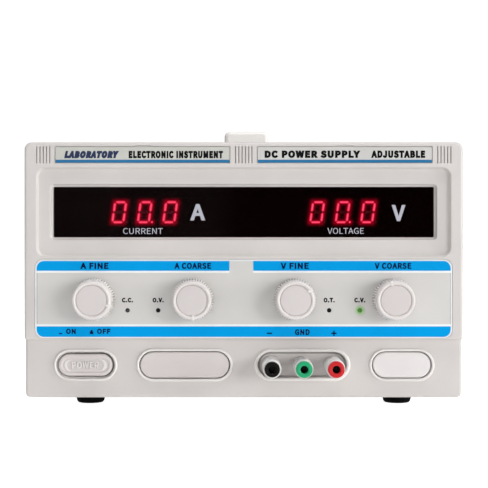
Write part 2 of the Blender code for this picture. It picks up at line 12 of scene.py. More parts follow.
import bmesh
import bpy
from mathutils import Matrix, Vector

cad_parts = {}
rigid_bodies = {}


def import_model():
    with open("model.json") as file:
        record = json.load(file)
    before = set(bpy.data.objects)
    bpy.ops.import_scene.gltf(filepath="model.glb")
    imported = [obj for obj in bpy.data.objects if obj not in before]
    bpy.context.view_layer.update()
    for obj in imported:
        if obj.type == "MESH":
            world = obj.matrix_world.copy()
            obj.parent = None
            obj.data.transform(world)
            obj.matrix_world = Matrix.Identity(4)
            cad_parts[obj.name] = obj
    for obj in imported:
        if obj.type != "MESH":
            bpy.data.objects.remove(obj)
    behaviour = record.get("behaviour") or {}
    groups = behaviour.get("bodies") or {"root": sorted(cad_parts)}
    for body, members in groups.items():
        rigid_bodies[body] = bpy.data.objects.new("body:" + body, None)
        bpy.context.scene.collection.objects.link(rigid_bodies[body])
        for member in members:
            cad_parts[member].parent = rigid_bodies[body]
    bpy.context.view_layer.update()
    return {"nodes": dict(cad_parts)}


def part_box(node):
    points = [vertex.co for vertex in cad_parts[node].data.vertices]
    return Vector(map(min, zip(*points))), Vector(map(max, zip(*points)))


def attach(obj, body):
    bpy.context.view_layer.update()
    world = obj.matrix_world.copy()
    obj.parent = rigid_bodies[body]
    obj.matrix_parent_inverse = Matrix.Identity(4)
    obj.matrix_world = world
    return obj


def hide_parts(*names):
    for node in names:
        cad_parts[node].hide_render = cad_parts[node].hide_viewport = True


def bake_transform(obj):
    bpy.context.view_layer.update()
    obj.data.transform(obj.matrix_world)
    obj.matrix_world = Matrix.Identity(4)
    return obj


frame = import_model()

MM = 0.001
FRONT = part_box("front_bezel")[0].y / MM
PRINT = 0.04

# Each knob's pointer angle in degrees, each lamp's look and caption, and each post's nose radius
KNOBS = {"current_fine": 108, "current_coarse": 176, "voltage_fine": 56, "voltage_coarse": -14}
LAMPS = {
    "current_limit": ("lamp_grey", "C.C."),
    "over_voltage": ("lamp_dark", "O.V."),
    "over_heat": ("lamp_dark", "O.T."),
    "voltage_hold": ("lamp_on", "C.V."),
}
POSTS = {"negative": 4.6, "ground": 4.95, "positive": 4.95}

CAMERA_DISTANCE = 790.0
CAMERA_X, CAMERA_Z = 0.2, 101.8
LENS = 95.5

# How bright the floor and the sky look to the camera, and the light that each gives
FLOOR_GLOW = 0.9
FLOOR_LIGHT = 0.28
SKY_GLOW = 1.05
SKY_LIGHT = 0.315
# Each soft light's place and width in metres, and its power in watts
LIGHTS = {
    "key": ((1.6, -2.1, 0.3), 0.9, 22.8),
    "edge": ((3.6, -1.1, 0.45), 0.9, 47.0),
    "fill": ((-0.6, -1.7, 0.22), 1.2, 3.8),
    "top": ((0.1, -0.4, 1.6), 0.8, 12.4),
}


# Places taken from the frame

def spans(node):
    """A node's lowest and highest X, depth and Z, in millimetres."""
    low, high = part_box(node)
    x = (low.x / MM, high.x / MM)
    depth = (low.y / MM - FRONT, high.y / MM - FRONT)
    return x, depth, (low.z / MM, high.z / MM)


def middle(node):
    """The middle of a node: its X, depth and Z."""
    return tuple(sum(pair) / 2 for pair in spans(node))


def size(node):
    """A node's width, depth and height."""
    return tuple(high - low for low, high in spans(node))


def shrunk(span, inset):
    """A span made shorter at both ends, or longer if the inset is negative."""
    return (span[0] + inset, span[1] - inset)


# Outlines: each is a function that gives its (x, z) points, grown by an offset

def panel(x, z, radii, steps=8):
    """A rectangle between two X and two Z, with one radius, or four anticlockwise from top right."""
    if not hasattr(radii, "__len__"):
        radii = (radii,) * 4
    corners = (("high", "high"), ("low", "high"), ("low", "low"), ("high", "low"))
    smallest = 0.02

    def outline(offset):
        points = []
        for number, (side_x, side_z) in enumerate(corners):
            radius = max(radii[number] + offset, smallest)
            edge_x = x[1] + offset - radius if side_x == "high" else x[0] - offset + radius
            edge_z = z[1] + offset - radius if side_z == "high" else z[0] - offset + radius
            for step in range(steps + 1):
                angle = math.pi / 2 * (number + step / steps)
                points.append((edge_x + radius * math.cos(angle), edge_z + radius * math.sin(angle)))
        return points

    return outline


def around(x, z, width, height, radius, steps=8):
    """A rounded rectangle about its middle."""
    return panel((x - width / 2, x + width / 2), (z - height / 2, z + height / 2), radius, steps)


def oblong(x, z, width, height, steps=12):
    """A bar with round ends."""
    return around(x, z, width, height, min(width, height) / 2 - 0.001, steps)


def oblong_of(node, inset):
    """The outline of an oblong node, narrower and lower by an inset."""
    (x, _, z), (width, _, height) = middle(node), size(node)
    return oblong(x, z, width - inset, height - inset)


def disc(x=0.0, z=0.0, sides=48, ridges=0, ridge=0.0):
    """A circle whose radius is the offset, or a ridged one for a knurled edge."""

    def outline(offset):
        points = []
        for step in range(sides):
            angle = math.tau * step / sides
            radius = offset
            if offset > ridge * 4:
                radius -= ridge * (0.5 - 0.5 * math.cos(angle * ridges))
            points.append((x + radius * math.cos(angle), z + radius * math.sin(angle)))
        return points

    return outline


# Profiles: (offset, depth) points that shape an edge

def quarter_turn(steps):
    """Even angles from zero to a right angle."""
    return [math.pi / 2 * step / steps for step in range(steps + 1)]


def front_edge(radius, depth=0.0, steps=5):
    """Rounds the front edge of a body whose side is at offset 0."""
    return [(radius * (math.sin(a) - 1), depth + radius * (1 - math.cos(a))) for a in quarter_turn(steps)]


def back_edge(radius, depth, steps=5):
    """Rounds the back edge of a body whose side is at offset 0."""
    return [(radius * (math.cos(a) - 1), depth - radius * (1 - math.sin(a))) for a in quarter_turn(steps)]


def flare(radius, steps):
    """Widens a cutter where it meets the front plane, so that the hole's lip is rounded."""
    first = math.radians(16)
    rise = 0.3
    angles = [first + (math.pi / 2 - first) * step / steps for step in range(steps + 1)]
    points = [(radius * (1 - math.sin(a)), radius * (1 - math.cos(a))) for a in angles]
    return [(points[0][0] + (rise + points[0][1]) / math.tan(first), -rise), *points]


def steep(top, bottom, draft):
    """The side of a recess: a crisp lip, a wall that leans a little, and a small fillet at its foot."""
    return [
        (draft + 0.6, top - 0.3), (draft + 0.12, top), (draft, top + 0.12),
        (0.12, bottom - 0.3), (-0.02, bottom - 0.08), (-0.25, bottom),
    ]


def at(depth, *points):
    """A profile whose depths are measured from another depth."""
    return [(offset, depth + further) for offset, further in points]


# Shapes

def loft(outline, profile, ring=False):
    """The skin over copies of an outline, one for each (offset, depth). A ring closes on itself."""
    shape = bmesh.new()
    rings = [[shape.verts.new((x, depth, z)) for x, z in outline(offset)] for offset, depth in profile]
    pairs = list(zip(rings, rings[1:]))
    if ring:
        pairs.append((rings[-1], rings[0]))
    for near, far in pairs:
        for index in range(len(near)):
            after = (index + 1) % len(near)
            shape.faces.new((near[index], near[after], far[after], far[index]))
    if not ring:
        shape.faces.new(rings[0])
        shape.faces.new(rings[-1][::-1])
    return tidy(shape)


def tidy(shape):
    """Merges points that meet and turns the faces outwards."""
    bmesh.ops.remove_doubles(shape, verts=shape.verts, dist=0.0005)
    bmesh.ops.dissolve_degenerate(shape, edges=shape.edges, dist=0.0002)
    bmesh.ops.recalc_face_normals(shape, faces=shape.faces)
    if shape.calc_volume(signed=True) < 0:
        bmesh.ops.reverse_faces(shape, faces=shape.faces)
    return shape


def straight(outline, near, far, offset=0.0):
    """An outline carried from one depth to another."""
    return loft(outline, [(offset, near), (offset, far)])


def plain(x, depth, z):
    """A box between two X, two depths and two Z."""
    shape = bmesh.new()
    bmesh.ops.create_cube(shape, size=1)
    bmesh.ops.scale(shape, vec=[b - a for a, b in (x, depth, z)], verts=shape.verts)
    bmesh.ops.translate(shape, vec=[(a + b) / 2 for a, b in (x, depth, z)], verts=shape.verts)
    return shape


def swapped(shape, first, second):
    """The shape with two of its axes exchanged, so that a loft can run across or upwards."""
    for vertex in shape.verts:
        vertex.co[first], vertex.co[second] = vertex.co[second], vertex.co[first]
    bmesh.ops.reverse_faces(shape, faces=shape.faces)
    return shape


def added(*shapes):
    """Several shapes in one, each still a body of its own."""
    whole = bmesh.new()
    for shape in shapes:
        mesh = bpy.data.meshes.new("part")
        shape.to_mesh(mesh)
        shape.free()
        whole.from_mesh(mesh)
        bpy.data.meshes.remove(mesh)
    return whole


def copied(shape, matrices):
    """Copies of a shape, one for each matrix, as one shape."""
    copies = [shape.copy() for _ in matrices]
    for copy, matrix in zip(copies, matrices):
        copy.transform(matrix)
    shape.free()
    return added(*copies)


def scratch(shape, group):
    """A temporary object, in millimetres, for a Boolean."""
    mesh = bpy.data.meshes.new("scratch")
    shape.to_mesh(mesh)
    shape.free()
    obj = bpy.data.objects.new("scratch", mesh)
    group.objects.link(obj)
    return obj


def combined(operation, base, *tools):
    """The base with the tools joined to it, or cut from it."""
    group = bpy.data.collections.new("tools")
    bpy.context.scene.collection.children.link(group)
    for tool in tools:
        scratch(tool, group)
    target = scratch(base, bpy.context.scene.collection)
    boolean = target.modifiers.new("boolean", "BOOLEAN")
    boolean.operation = operation
    boolean.operand_type = "COLLECTION"
    boolean.collection = group
    graph = bpy.context.evaluated_depsgraph_get()
    mesh = bpy.data.meshes.new_from_object(target.evaluated_get(graph))
    shape = bmesh.new()
    shape.from_mesh(mesh)
    bpy.data.meshes.remove(mesh)
    for obj in [target, *group.objects]:
        bpy.data.objects.remove(obj)
    bpy.data.collections.remove(group)
    bmesh.ops.remove_doubles(shape, verts=shape.verts, dist=0.0005)
    return shape


def cut(base, *tools):
    return combined("DIFFERENCE", base, *tools)


def join(base, *tools):
    return combined("UNION", base, *tools)


def finish_piece(name, shape, look, replaces=(), body="cabinet", sharp=32):
    """Makes the shape an object in metres, smooth where it curves, riding on its body.

    The look gives its material, in the mesh's one material slot.
    """
    for vertex in shape.verts:
        vertex.co = Vector((vertex.co.x, vertex.co.y + FRONT, vertex.co.z)) * MM
    mesh = bpy.data.meshes.new(name)
    shape.to_mesh(mesh)
    shape.free()
    mesh.shade_smooth()
    mesh.set_sharp_from_angle(angle=math.radians(sharp))
    mesh.materials.clear()
    mesh.materials.append(MATERIAL[look])
    obj = bpy.data.objects.new(name, mesh)
    bpy.context.scene.collection.objects.link(obj)
    normals = obj.modifiers.new("even_normals", "WEIGHTED_NORMAL")
    normals.keep_sharp = True
    if body:
        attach(obj, body)
    if replaces:
        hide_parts(*replaces)
    return obj


def keep(node, look):
    """Gives a CAD node that stays its material."""
    mesh = frame["nodes"][node].data
    mesh.materials.clear()
    mesh.materials.append(MATERIAL[look])


# Materials

def feed(tree, node, inputs):
    """Sets each of a node's inputs to a value, or links it to another node's output."""
    for name, value in inputs.items():
        if isinstance(value, bpy.types.NodeSocket):
            tree.links.new(value, node.inputs[name])
        else:
            node.inputs[name].default_value = value


def new_node(tree, kind, inputs=None, **settings):
    """A node with its settings made and its inputs fed."""
    node = tree.nodes.new("ShaderNode" + kind)
    for name, value in settings.items():
        setattr(node, name, value)
    feed(tree, node, inputs or {})
    return node


def new_material(name):
    """A material, with its node tree and its shader."""
    made = bpy.data.materials.new(name)
    made.use_nodes = True
    return made, made.node_tree, made.node_tree.nodes["Principled BSDF"]


def own_place(tree):
    """The place in the object's own space."""
    return new_node(tree, "TexCoord").outputs["Object"]


def noise(tree, place, scale, detail=3.0):
    """Noise with features of about 1/scale metres."""
    return new_node(tree, "TexNoise", {"Vector": place, "Scale": scale, "Detail": detail}).outputs["Fac"]


def ranged(tree, source, low, high, first=0.3, last=0.7, curve="LINEAR"):
    """A stretch of a value, by default the middle of a noise, spread between two others."""
    inputs = {"Value": source, "From Min": first, "From Max": last, "To Min": low, "To Max": high}
    return new_node(tree, "MapRange", inputs, interpolation_type=curve).outputs["Result"]


def blended(tree, first, second, factor, kind="RGBA"):
    """A mix of two colours or, as a FLOAT, of two values."""
    inputs = {"A": first, "B": second, "Factor": factor}
    return new_node(tree, "Mix", inputs, data_type=kind).outputs["Result"]


def surface(
    name, colour, roughness, grain=0.5, relief=0.15, mottle=0.03, metallic=0.0, specular=0.5, **sockets
):
    """A material whose colour, roughness and relief vary: broad mottling over a fine grain.

    The grain is its size in millimetres, and the other sockets are set on the shader itself.
    """
    made, tree, shader = new_material(name)
    broad = ranged(tree, noise(tree, own_place(tree), 30), 0, 1)
    fine = noise(tree, own_place(tree), 1 / (grain * MM), 2.0)
    darker = (*[c * (1 - mottle) for c in colour], 1)
    paler = (*[min(c * (1 + mottle), 1) for c in colour], 1)
    bump = new_node(tree, "Bump", {"Strength": relief, "Distance": grain * MM * 0.2, "Height": fine})
    feed(tree, shader, {
        "Metallic": metallic,
        "Specular IOR Level": specular,
        "Base Color": blended(tree, darker, paler, broad),
        "Roughness": ranged(tree, fine, roughness * 0.88, min(roughness * 1.12, 1)),
        "Normal": bump.outputs["Normal"],
        **sockets,
    })
    return made


def brushed(name, colour, roughness, along=(1, 30, 30)):
    """Metal with fine lines that run along one axis."""
    made = surface(name, colour, roughness, 0.6, 0.1, metallic=1.0)
    tree = made.node_tree
    stretched = new_node(tree, "Mapping", {"Vector": own_place(tree), "Scale": along}).outputs["Vector"]
    lines = noise(tree, stretched, 60, 6)
    uneven = ranged(tree, lines, roughness * 0.7, roughness * 1.3)
    feed(tree, tree.nodes["Principled BSDF"], {"Roughness": uneven})
    return made


def glowing(name, core, rim, strength):
    """A glowing surface that is a little uneven, as the plastic over a light is. On the unlit bars, which
    are no lit lamp, the glow is painted.
    """
    made, tree, shader = new_material(name)
    uneven = ranged(tree, noise(tree, own_place(tree), 900), 0.55, 1)
    feed(tree, shader, {
        "Roughness": 0.4,
        "Base Color": (*rim, 1),
        "Emission Strength": strength,
        "Emission Color": blended(tree, (*rim, 1), (*core, 1), uneven),
    })
    return made


def painted_spill_light(name, colour):
    """A dark face with a painted glow: its emission, as strong as the mesh's own "glow" says, stands in for
    the light that the lit bars beside it spill.
    """
    made = surface(name, (0.004, 0.0005, 0.001), 0.6, 0.4, 0.05, specular=0.05)
    tree = made.node_tree
    glow = new_node(tree, "VertexColor", layer_name="glow").outputs["Color"]
    feed(tree, tree.nodes["Principled BSDF"], {"Emission Color": (*colour, 1), "Emission Strength": glow})
    return made


def paint_glow_near(material, place, colour, start, end):
    """Paints a glow: blends a colour into a material close to a place in the object's space, in millimetres.
    """
    tree = material.node_tree
    shader = tree.nodes["Principled BSDF"]
    own_colour = shader.inputs["Base Color"].links[0].from_socket
    gap = new_node(
        tree, "VectorMath", {0: own_place(tree), 1: Vector(place) * MM}, operation="DISTANCE"
    ).outputs["Value"]
    fade = ranged(tree, gap, 1.0, 0.0, start * MM, end * MM, "SMOOTHSTEP")
    feed(tree, shader, {"Base Color": blended(tree, own_colour, (*colour, 1), fade)})


def make_looks():
    """Every finish on the object, by the record's slot that it stands for.

    After a surface's colour come its roughness, the size of its grain and its relief. The last
    group has no slot, because only CAD nodes that stay wear it.
    """
    return {
        "case_plastic": {
            "case": surface("case_plastic", (0.66, 0.625, 0.605), 0.46, 0.35, 0.18),
            # The rim plastic is the plastic beside it made paler: a painted highlight on the bezel's rims,
            # the knob skirts and the button's crescents.
            "rim": surface("rim_plastic_painted_highlight", (0.82, 0.79, 0.765), 0.4, 0.35, 0.1),
            "button": surface("button_plastic", (0.69, 0.64, 0.63), 0.4, 0.4, 0.1),
            "knob": surface("knob_plastic", (0.745, 0.70, 0.68), 0.36, 0.4, 0.06),
            "knob_cap": surface("knob_cap_plastic", (0.67, 0.62, 0.615), 0.42, 0.4, 0.1),
            "post_grey": surface("post_grey", (0.84, 0.82, 0.80), 0.42, 0.4, 0.08),
        },
        "bright_plastic": {
            "pointer": surface("pointer_plastic", (0.80, 0.77, 0.75), 0.35, 0.4, 0.04),
            "bright": surface("bright_plastic", (0.81, 0.775, 0.765), 0.4, 0.4, 0.08),
            "handle": surface("handle_plastic", (0.90, 0.875, 0.85), 0.42, 0.5, 0.12),
        },
        "cover_paint": {
            "cover": surface("cover_paint", (0.70, 0.675, 0.65), 0.5, 0.8, 0.3, mottle=0.015),
        },
        "overlay_film": {
            "film_edge": surface("film_white", (0.86, 0.89, 0.90), 0.4, 0.3, 0.05),
            "film": surface("film_grey", (0.655, 0.64, 0.62), 0.45, 0.3, 0.1, mottle=0.02),
            "blue": surface("film_blue", (0.0, 0.335, 0.77), 0.45, 0.3, 0.05, specular=0.05),
            "side_line": surface("film_side_line", (0.33, 0.31, 0.30), 0.4, 0.3, 0.03),
            "navy": surface("print_navy", (0.001, 0.004, 0.05), 0.5, 0.3, 0.03, specular=0.08),
            "ink": surface("print_black", (0.003, 0.003, 0.004), 0.5, 0.3, 0.03, specular=0.1),
        },
        "plate_print": {
            "plate_left": surface("plate_cool", (0.575, 0.575, 0.53), 0.36, 0.5, 0.05, mottle=0.04),
            "plate_right": surface("plate_warm", (0.62, 0.605, 0.585), 0.36, 0.5, 0.05, mottle=0.04),
            "stripe": surface("plate_blue", (0.006, 0.155, 0.35), 0.36, 0.4, 0.04),
            "plate_mark": surface("plate_navy", (0.003, 0.016, 0.075), 0.4, 0.4, 0.03),
        },
        "window": {
            "window": surface(
                "window_acrylic", (0.003, 0.0003, 0.0004), 0.07, 4.0, 0.01, mottle=0.1, specular=0.06,
                Alpha=0.45, IOR=1.49,
            ),
            "legend": surface("window_print", (0.46, 0.465, 0.53), 0.5, 0.3, 0.03),
        },
        "digit_face": {
            "shroud": surface("shroud_black", (0.004, 0.0005, 0.0005), 0.75, 0.6, 0.1, specular=0.05),
            "digit_face": surface(
                "digit_face_black", (0.006, 0.001, 0.0015), 0.5, 0.4, 0.06, specular=0.1
            ),
            # The unlit bars glow faintly too: a painted glow, as they are no lit lamp.
            "segment_off": glowing("segment_unlit_painted_glow", (0.20, 0.0, 0.008), (0.16, 0.0, 0.006), 0.4),
            "segment_on": glowing("segment_lit", (1.0, 0.012, 0.05), (0.9, 0.005, 0.035), 1.9),
            "segment_core": glowing("segment_core", (1.0, 0.09, 0.20), (1.0, 0.06, 0.15), 3.2),
            # The digit faces' glow is painted light, spilled from the lit bars.
            "glow": painted_spill_light("digit_painted_glow", (0.75, 0.0, 0.03)),
        },
        "lamp_green": {
            "lamp_on": glowing("lamp_green_lit", (0.13, 0.36, 0.06), (0.02, 0.10, 0.01), 0.45),
        },
        "lamp_off": {
            "lamp_grey": surface("lamp_grey", (0.045, 0.042, 0.04), 0.25, 0.6, 0.02),
            "lamp_dark": surface("lamp_dark", (0.004, 0.004, 0.004), 0.3, 0.6, 0.02, specular=0.2),
        },
        "post_black": {
            "post_negative": surface("post_black", (0.007, 0.005, 0.005), 0.45, 0.5, 0.05, specular=0.1),
        },
        "post_green": {
            "post_ground": surface("post_green", (0.014, 0.37, 0.155), 0.35, 0.5, 0.05, specular=0.3),
        },
        "post_red": {
            "post_positive": surface("post_red", (0.58, 0.014, 0.018), 0.35, 0.5, 0.05, specular=0.3),
        },
        "black_plastic": {
            "black": surface("black_plastic", (0.018, 0.018, 0.020), 0.45),
        },
        "rubber": {
            "rubber": surface("foot_rubber", (0.002, 0.002, 0.002), 0.72, 0.5, 0.25, specular=0.08),
        },
        "steel": {
            "steel": brushed("zinc_steel", (0.62, 0.63, 0.65), 0.34),
            "screw": surface("screw_nickel", (0.66, 0.66, 0.65), 0.26, 0.5, 0.05, metallic=1.0),
        },
        "brass": {
            "brass": surface("stud_brass", (0.74, 0.60, 0.34), 0.25, 0.5, 0.05, metallic=1.0),
        },
        "capacitor": {
            "sleeve": surface("capacitor_sleeve", (0.02, 0.035, 0.12), 0.3, 0.6, 0.04),
        },
        None: {
            "aluminium": brushed("heatsink_aluminium", (0.74, 0.75, 0.77), 0.38, (30, 1, 30)),
            "board": surface("board_green", (0.018, 0.13, 0.055), 0.4, 0.6, 0.12, mottle=0.1),
            "ferrite": surface("ferrite_core", (0.05, 0.05, 0.055), 0.6, 0.4, 0.3),
            "copper": surface("enamelled_copper", (0.62, 0.22, 0.07), 0.3, metallic=1.0),
        },
    }


MATERIAL = {}
for slot_name, looks in make_looks().items():
    MATERIAL.update(looks)


def paint_lamp_glow_on_film():
    """Paints the lit lamp's green glow onto the film close to it."""
    x, _, z = middle("lamp_voltage_hold")
    paint_glow_near(MATERIAL["film"], (x, FRONT, z), (0.30, 0.60, 0.20), 1.0, 4.0)


# The front: bezel and everything printed on it

BEZEL_X, BEZEL_DEPTHS, BEZEL_Z = spans("front_bezel")
STEP_Z = 43.2
LOWER_DEPTH = 4.5
RIM_DEPTH = 3.2
RIM_BACK = 12.5
RECESS_DEPTH = 3.0
POCKET_FLOOR = 8.0
PLATE_NODES = ("name_plate_left", "name_plate_right")
GROOVE_PITCH = 2.0
OBLONG_Z = middle("power_button")[2]
# Each opening of the lower band: its X, and the width and height of its hole and of its rim
OPENINGS = {
    "button": (middle("power_button")[0], (35.8, 16.1), (39.0, 19.5)),
    "wide": (middle("blank_cover_wide")[0], (55.7, 17.0), (59.2, 20.3)),
    "posts": (middle("post_cap_ground")[0], (54.6, 15.7), (59.0, 20.0)),
    "narrow": (middle("blank_cover_narrow")[0], (36.7, 16.8), (40.2, 20.1)),
}


def bezel_body():
    """The shell behind the lower band, and the raised upper frame."""
    inset = 0.05
    shell = loft(
        panel(shrunk(BEZEL_X, inset), (BEZEL_Z[0], BEZEL_Z[1] - inset), (4, 4, 3, 3)),
        front_edge(1.8, LOWER_DEPTH) + back_edge(0.8, BEZEL_DEPTHS[1]),
    )
    raised = loft(
        panel(BEZEL_X, (STEP_Z, BEZEL_Z[1]), (4.5, 4.5, 1.4, 1.4)),
        front_edge(1.7) + back_edge(0.35, 12.0),
    )
    return join(shell, raised)


def rims():
    """The rounded rings round the four oblong openings of the lower band."""
    collar = 0.5
    root = LOWER_DEPTH + 0.4
    steps = 8
    for name, (x, opening, rim) in OPENINGS.items():
        width = (rim[0] - opening[0]) / 2
        arch = []
        for step in range(steps + 1):
            angle = math.pi * step / steps
            sunk = (LOWER_DEPTH - RIM_DEPTH) * (1 - math.sin(angle) ** 0.7)
            arch.append((width / 2 * (1 + math.cos(angle)) - width, RIM_DEPTH + sunk))
        inner = arch[-1][0]
        back = POCKET_FLOOR - 0.1 if name == "posts" else RIM_BACK
        profile = [(arch[0][0], root), *arch]
        if name == "button":
            profile += [(inner, 6.3), (inner - 0.75, 6.6), (inner - 0.75, 8.0), (inner, 8.2)]
        profile += [(inner, back), (inner + collar, back), (inner + collar, root)]
        ring = loft(oblong(x, OBLONG_Z, *rim), profile, ring=True)
        # The rings wear the paler rim plastic: a painted highlight on the bezel's own plastic.
        finish_piece("rim_" + name, ring, "rim")


def round_hole(node, radius, near, far, sides=32):
    """A round cutter about a node's middle."""
    x, _, z = middle(node)
    return straight(disc(x, z, sides), near, far, radius)


def control_holes(knob_radius, far):
    """Cutters for the knobs' shafts and the lamps."""
    shafts = [round_hole("knob_" + knob, knob_radius, -1, far) for knob in KNOBS]
    return shafts + [round_hole("lamp_" + lamp, 1.42, -1, far, 24) for lamp in LAMPS]


def film_box():
    """The X and Z of the printed film, which is a little taller than its node."""
    x, _, z = spans("control_overlay")
    return x, (z[0] - 0.4, z[1] + 0.1)


def window_cutters():
    """The recess round the window, the step inside it, the window's seat and the opening behind."""
    x, (_, back), z = spans("display_window")
    return [
        loft(panel(shrunk(BEZEL_X, 8.5), (95.0, 147.5), 4.6), steep(0.0, RECESS_DEPTH, 1.15)),
        loft(panel(shrunk(x, -0.8), shrunk(z, -0.8), 1.5), steep(RECESS_DEPTH, 5.4, 1.0)),
        straight(panel(shrunk(x, -0.25), shrunk(z, -0.25), 0.9), RECESS_DEPTH, back + 0.3),
        straight(around(0, middle("display_window")[2], 228, 26, 1.0, 3), RECESS_DEPTH, 12),
    ]


def plate_cutters():
    """The name plates' pockets, each with a notch above it, and the three groups of grooves."""
    tools = []
    for node in PLATE_NODES:
        x, _, z = spans(node)
        tools.append(straight(panel(x, z, 0.3, 2), -1, 1.2, 0.4))
        notch_x = sum(x) / 2
        tools.append(plain((notch_x - 5.3, notch_x + 5.3), (-1, 1.2), (z[1], z[1] + 0.9)))
    for x, count in ((-122.4, 5), (0.0, 6), (122.4, 5)):
        for index in range(count):
            groove_x = x + GROOVE_PITCH * (index - (count - 1) / 2)
            groove = around(groove_x, 156.25, 0.6, 10.4, 0.25, 3)
            tools.append(loft(groove, flare(0.25, 3) + [(0, 1.2), (-0.2, 1.5)]))
    return tools


def pocket_cutters():
    """The lower band's oblong holes, with a seam round the posts' pocket and a hole for each post."""
    clearance = 0.55
    tools = []
    for name, (x, opening, _) in OPENINGS.items():
        deepest = POCKET_FLOOR if name == "posts" else 12.0
        tools.append(straight(oblong(x, OBLONG_Z, *opening), 2, deepest, clearance))
    x, opening, _ = OPENINGS["posts"]
    seam = [
        (clearance, 5.0), (clearance, 9.6), (-0.95, 9.6), (-0.95, POCKET_FLOOR + 0.25),
        (-1.2, POCKET_FLOOR - 0.05), (-1.2, 5.0),
    ]
    tools.append(loft(oblong(x, OBLONG_Z, *opening), seam, ring=True))
    return tools + [round_hole("post_cap_" + post, 3.4, 5, 14) for post in POSTS]


def bezel():
    """The moulded front of the case, hollow behind, and the two blank covers in its lower band."""
    wall = 3.0
    cavities = (
        plain(shrunk(BEZEL_X, wall), (8.0, BEZEL_DEPTHS[1] + 5), shrunk(BEZEL_Z, wall)),
        plain((-129.5, 129.5), (wall, 9.0), (47.0, 90.5)),
        plain((-128.5, 128.5), (3.6, 9.0), (151.6, 160.0)),
    )
    floor = straight(oblong(OPENINGS["posts"][0], OBLONG_Z, 60.5, 21.5), 7.4, POCKET_FLOOR + 3)
    film_seat = straight(panel(*film_box(), 5.0), -1, 0.8, 0.25)
    body = cut(
        join(cut(bezel_body(), *cavities), floor),
        *window_cutters(), film_seat, *plate_cutters(), *control_holes(4.2, 5), *pocket_cutters(),
    )
    finish_piece("bezel_moulding", body, "case", ["front_bezel"], sharp=20)
    for width, look in (("wide", "button"), ("narrow", "bright")):
        node = "blank_cover_" + width
        cover = loft(oblong_of(node, 0.4), front_edge(1.1, 3.8, 6) + [(0, 6.2), (-1.5, 6.4), (-1.5, 9.4)])
        finish_piece(width + "_cover", cover, look, [node])


def sans_font():
    """Blender's own plain sans-serif, or its default where that isn't installed."""
    path = os.path.join(bpy.utils.system_resource("DATAFILES"), "fonts", "Noto Sans CJK Regular.woff2")
    return bpy.data.fonts.load(path, check_existing=True) if os.path.exists(path) else None


def lettering(
    name, text, x, z, depth, look, thickness=PRINT, weight=0.003, slant=0.0, body="cabinet"
):
    """Letters that fill the space between two X and two Z, standing just in front of a depth.

    The weight thickens the strokes, as a share of the letters' size.
    """
    curve = bpy.data.curves.new(name, "FONT")
    curve.body = text
    curve.font = sans_font() or curve.font
    curve.bevel_depth = weight
    curve.space_character = 1 + weight * 3
    curve.bevel_resolution = 0
    curve.shear = slant
    curve.resolution_u = 4
    written = bpy.data.objects.new(name, curve)
    bpy.context.scene.collection.objects.link(written)
    graph = bpy.context.evaluated_depsgraph_get()
    mesh = bpy.data.meshes.new_from_object(written.evaluated_get(graph))
    bpy.data.objects.remove(written)
    bpy.data.curves.remove(curve)
    shape = bmesh.new()
    shape.from_mesh(mesh)
    bpy.data.meshes.remove(mesh)
    low, high = (
        Vector(pick(v.co[axis] for v in shape.verts) for axis in range(3)) for pick in (min, max)
    )
    for vertex in shape.verts:
        across, up, out = ((vertex.co[axis] - low[axis]) / (high[axis] - low[axis]) for axis in range(3))
        vertex.co = (x[0] + across * (x[1] - x[0]), depth - out * thickness, z[0] + up * (z[1] - z[0]))
    finish_piece(name, shape, look, body=body)


def printed(name, outline, depth, look):
    """A thin layer of ink in the shape of an outline, lying on a face at a depth."""
    finish_piece(name, straight(outline, depth - PRINT, depth), look)


def name_plates():
    """The two printed plates above the window, each with a blue stripe along its foot."""
    words = {
        "left": (
            ("LABORATORY", (-109.6, -76.0), "plate_mark", 0.25),
            ("ELECTRONIC INSTRUMENT", (-70.2, -12.6), "ink", 0.0),
        ),
        "right": (
            ("DC POWER SUPPLY", (12.8, 71.2), "ink", 0.0),
            ("ADJUSTABLE", (77.8, 110.8), "ink", 0.0),
        ),
    }
    heights = {"left": (154.1, 158.7), "right": (154.3, 158.9)}
    for side, lines in words.items():
        node = "name_plate_" + side
        x, (front, back), z = spans(node)
        plate = loft(panel(x, z, 0.3, 3), front_edge(0.12, front, 3) + [(0, back)])
        finish_piece("plate_" + side, plate, "plate_" + side, [node])
        stripe = panel(shrunk(x, 0.1), (z[0] + 0.03, z[0] + 1.85), 0.1, 2)
        printed("plate_stripe_" + side, stripe, front, "stripe")
        for number, (text, words_x, look, slant) in enumerate(lines):
            lettering(
                f"plate_words_{side}_{number}", text, words_x, heights[side], front, look,
                weight=0.05 if slant else 0.034, slant=slant,
            )


FILM_FRONT = 0.1
BAND_FRONT = FILM_FRONT - PRINT


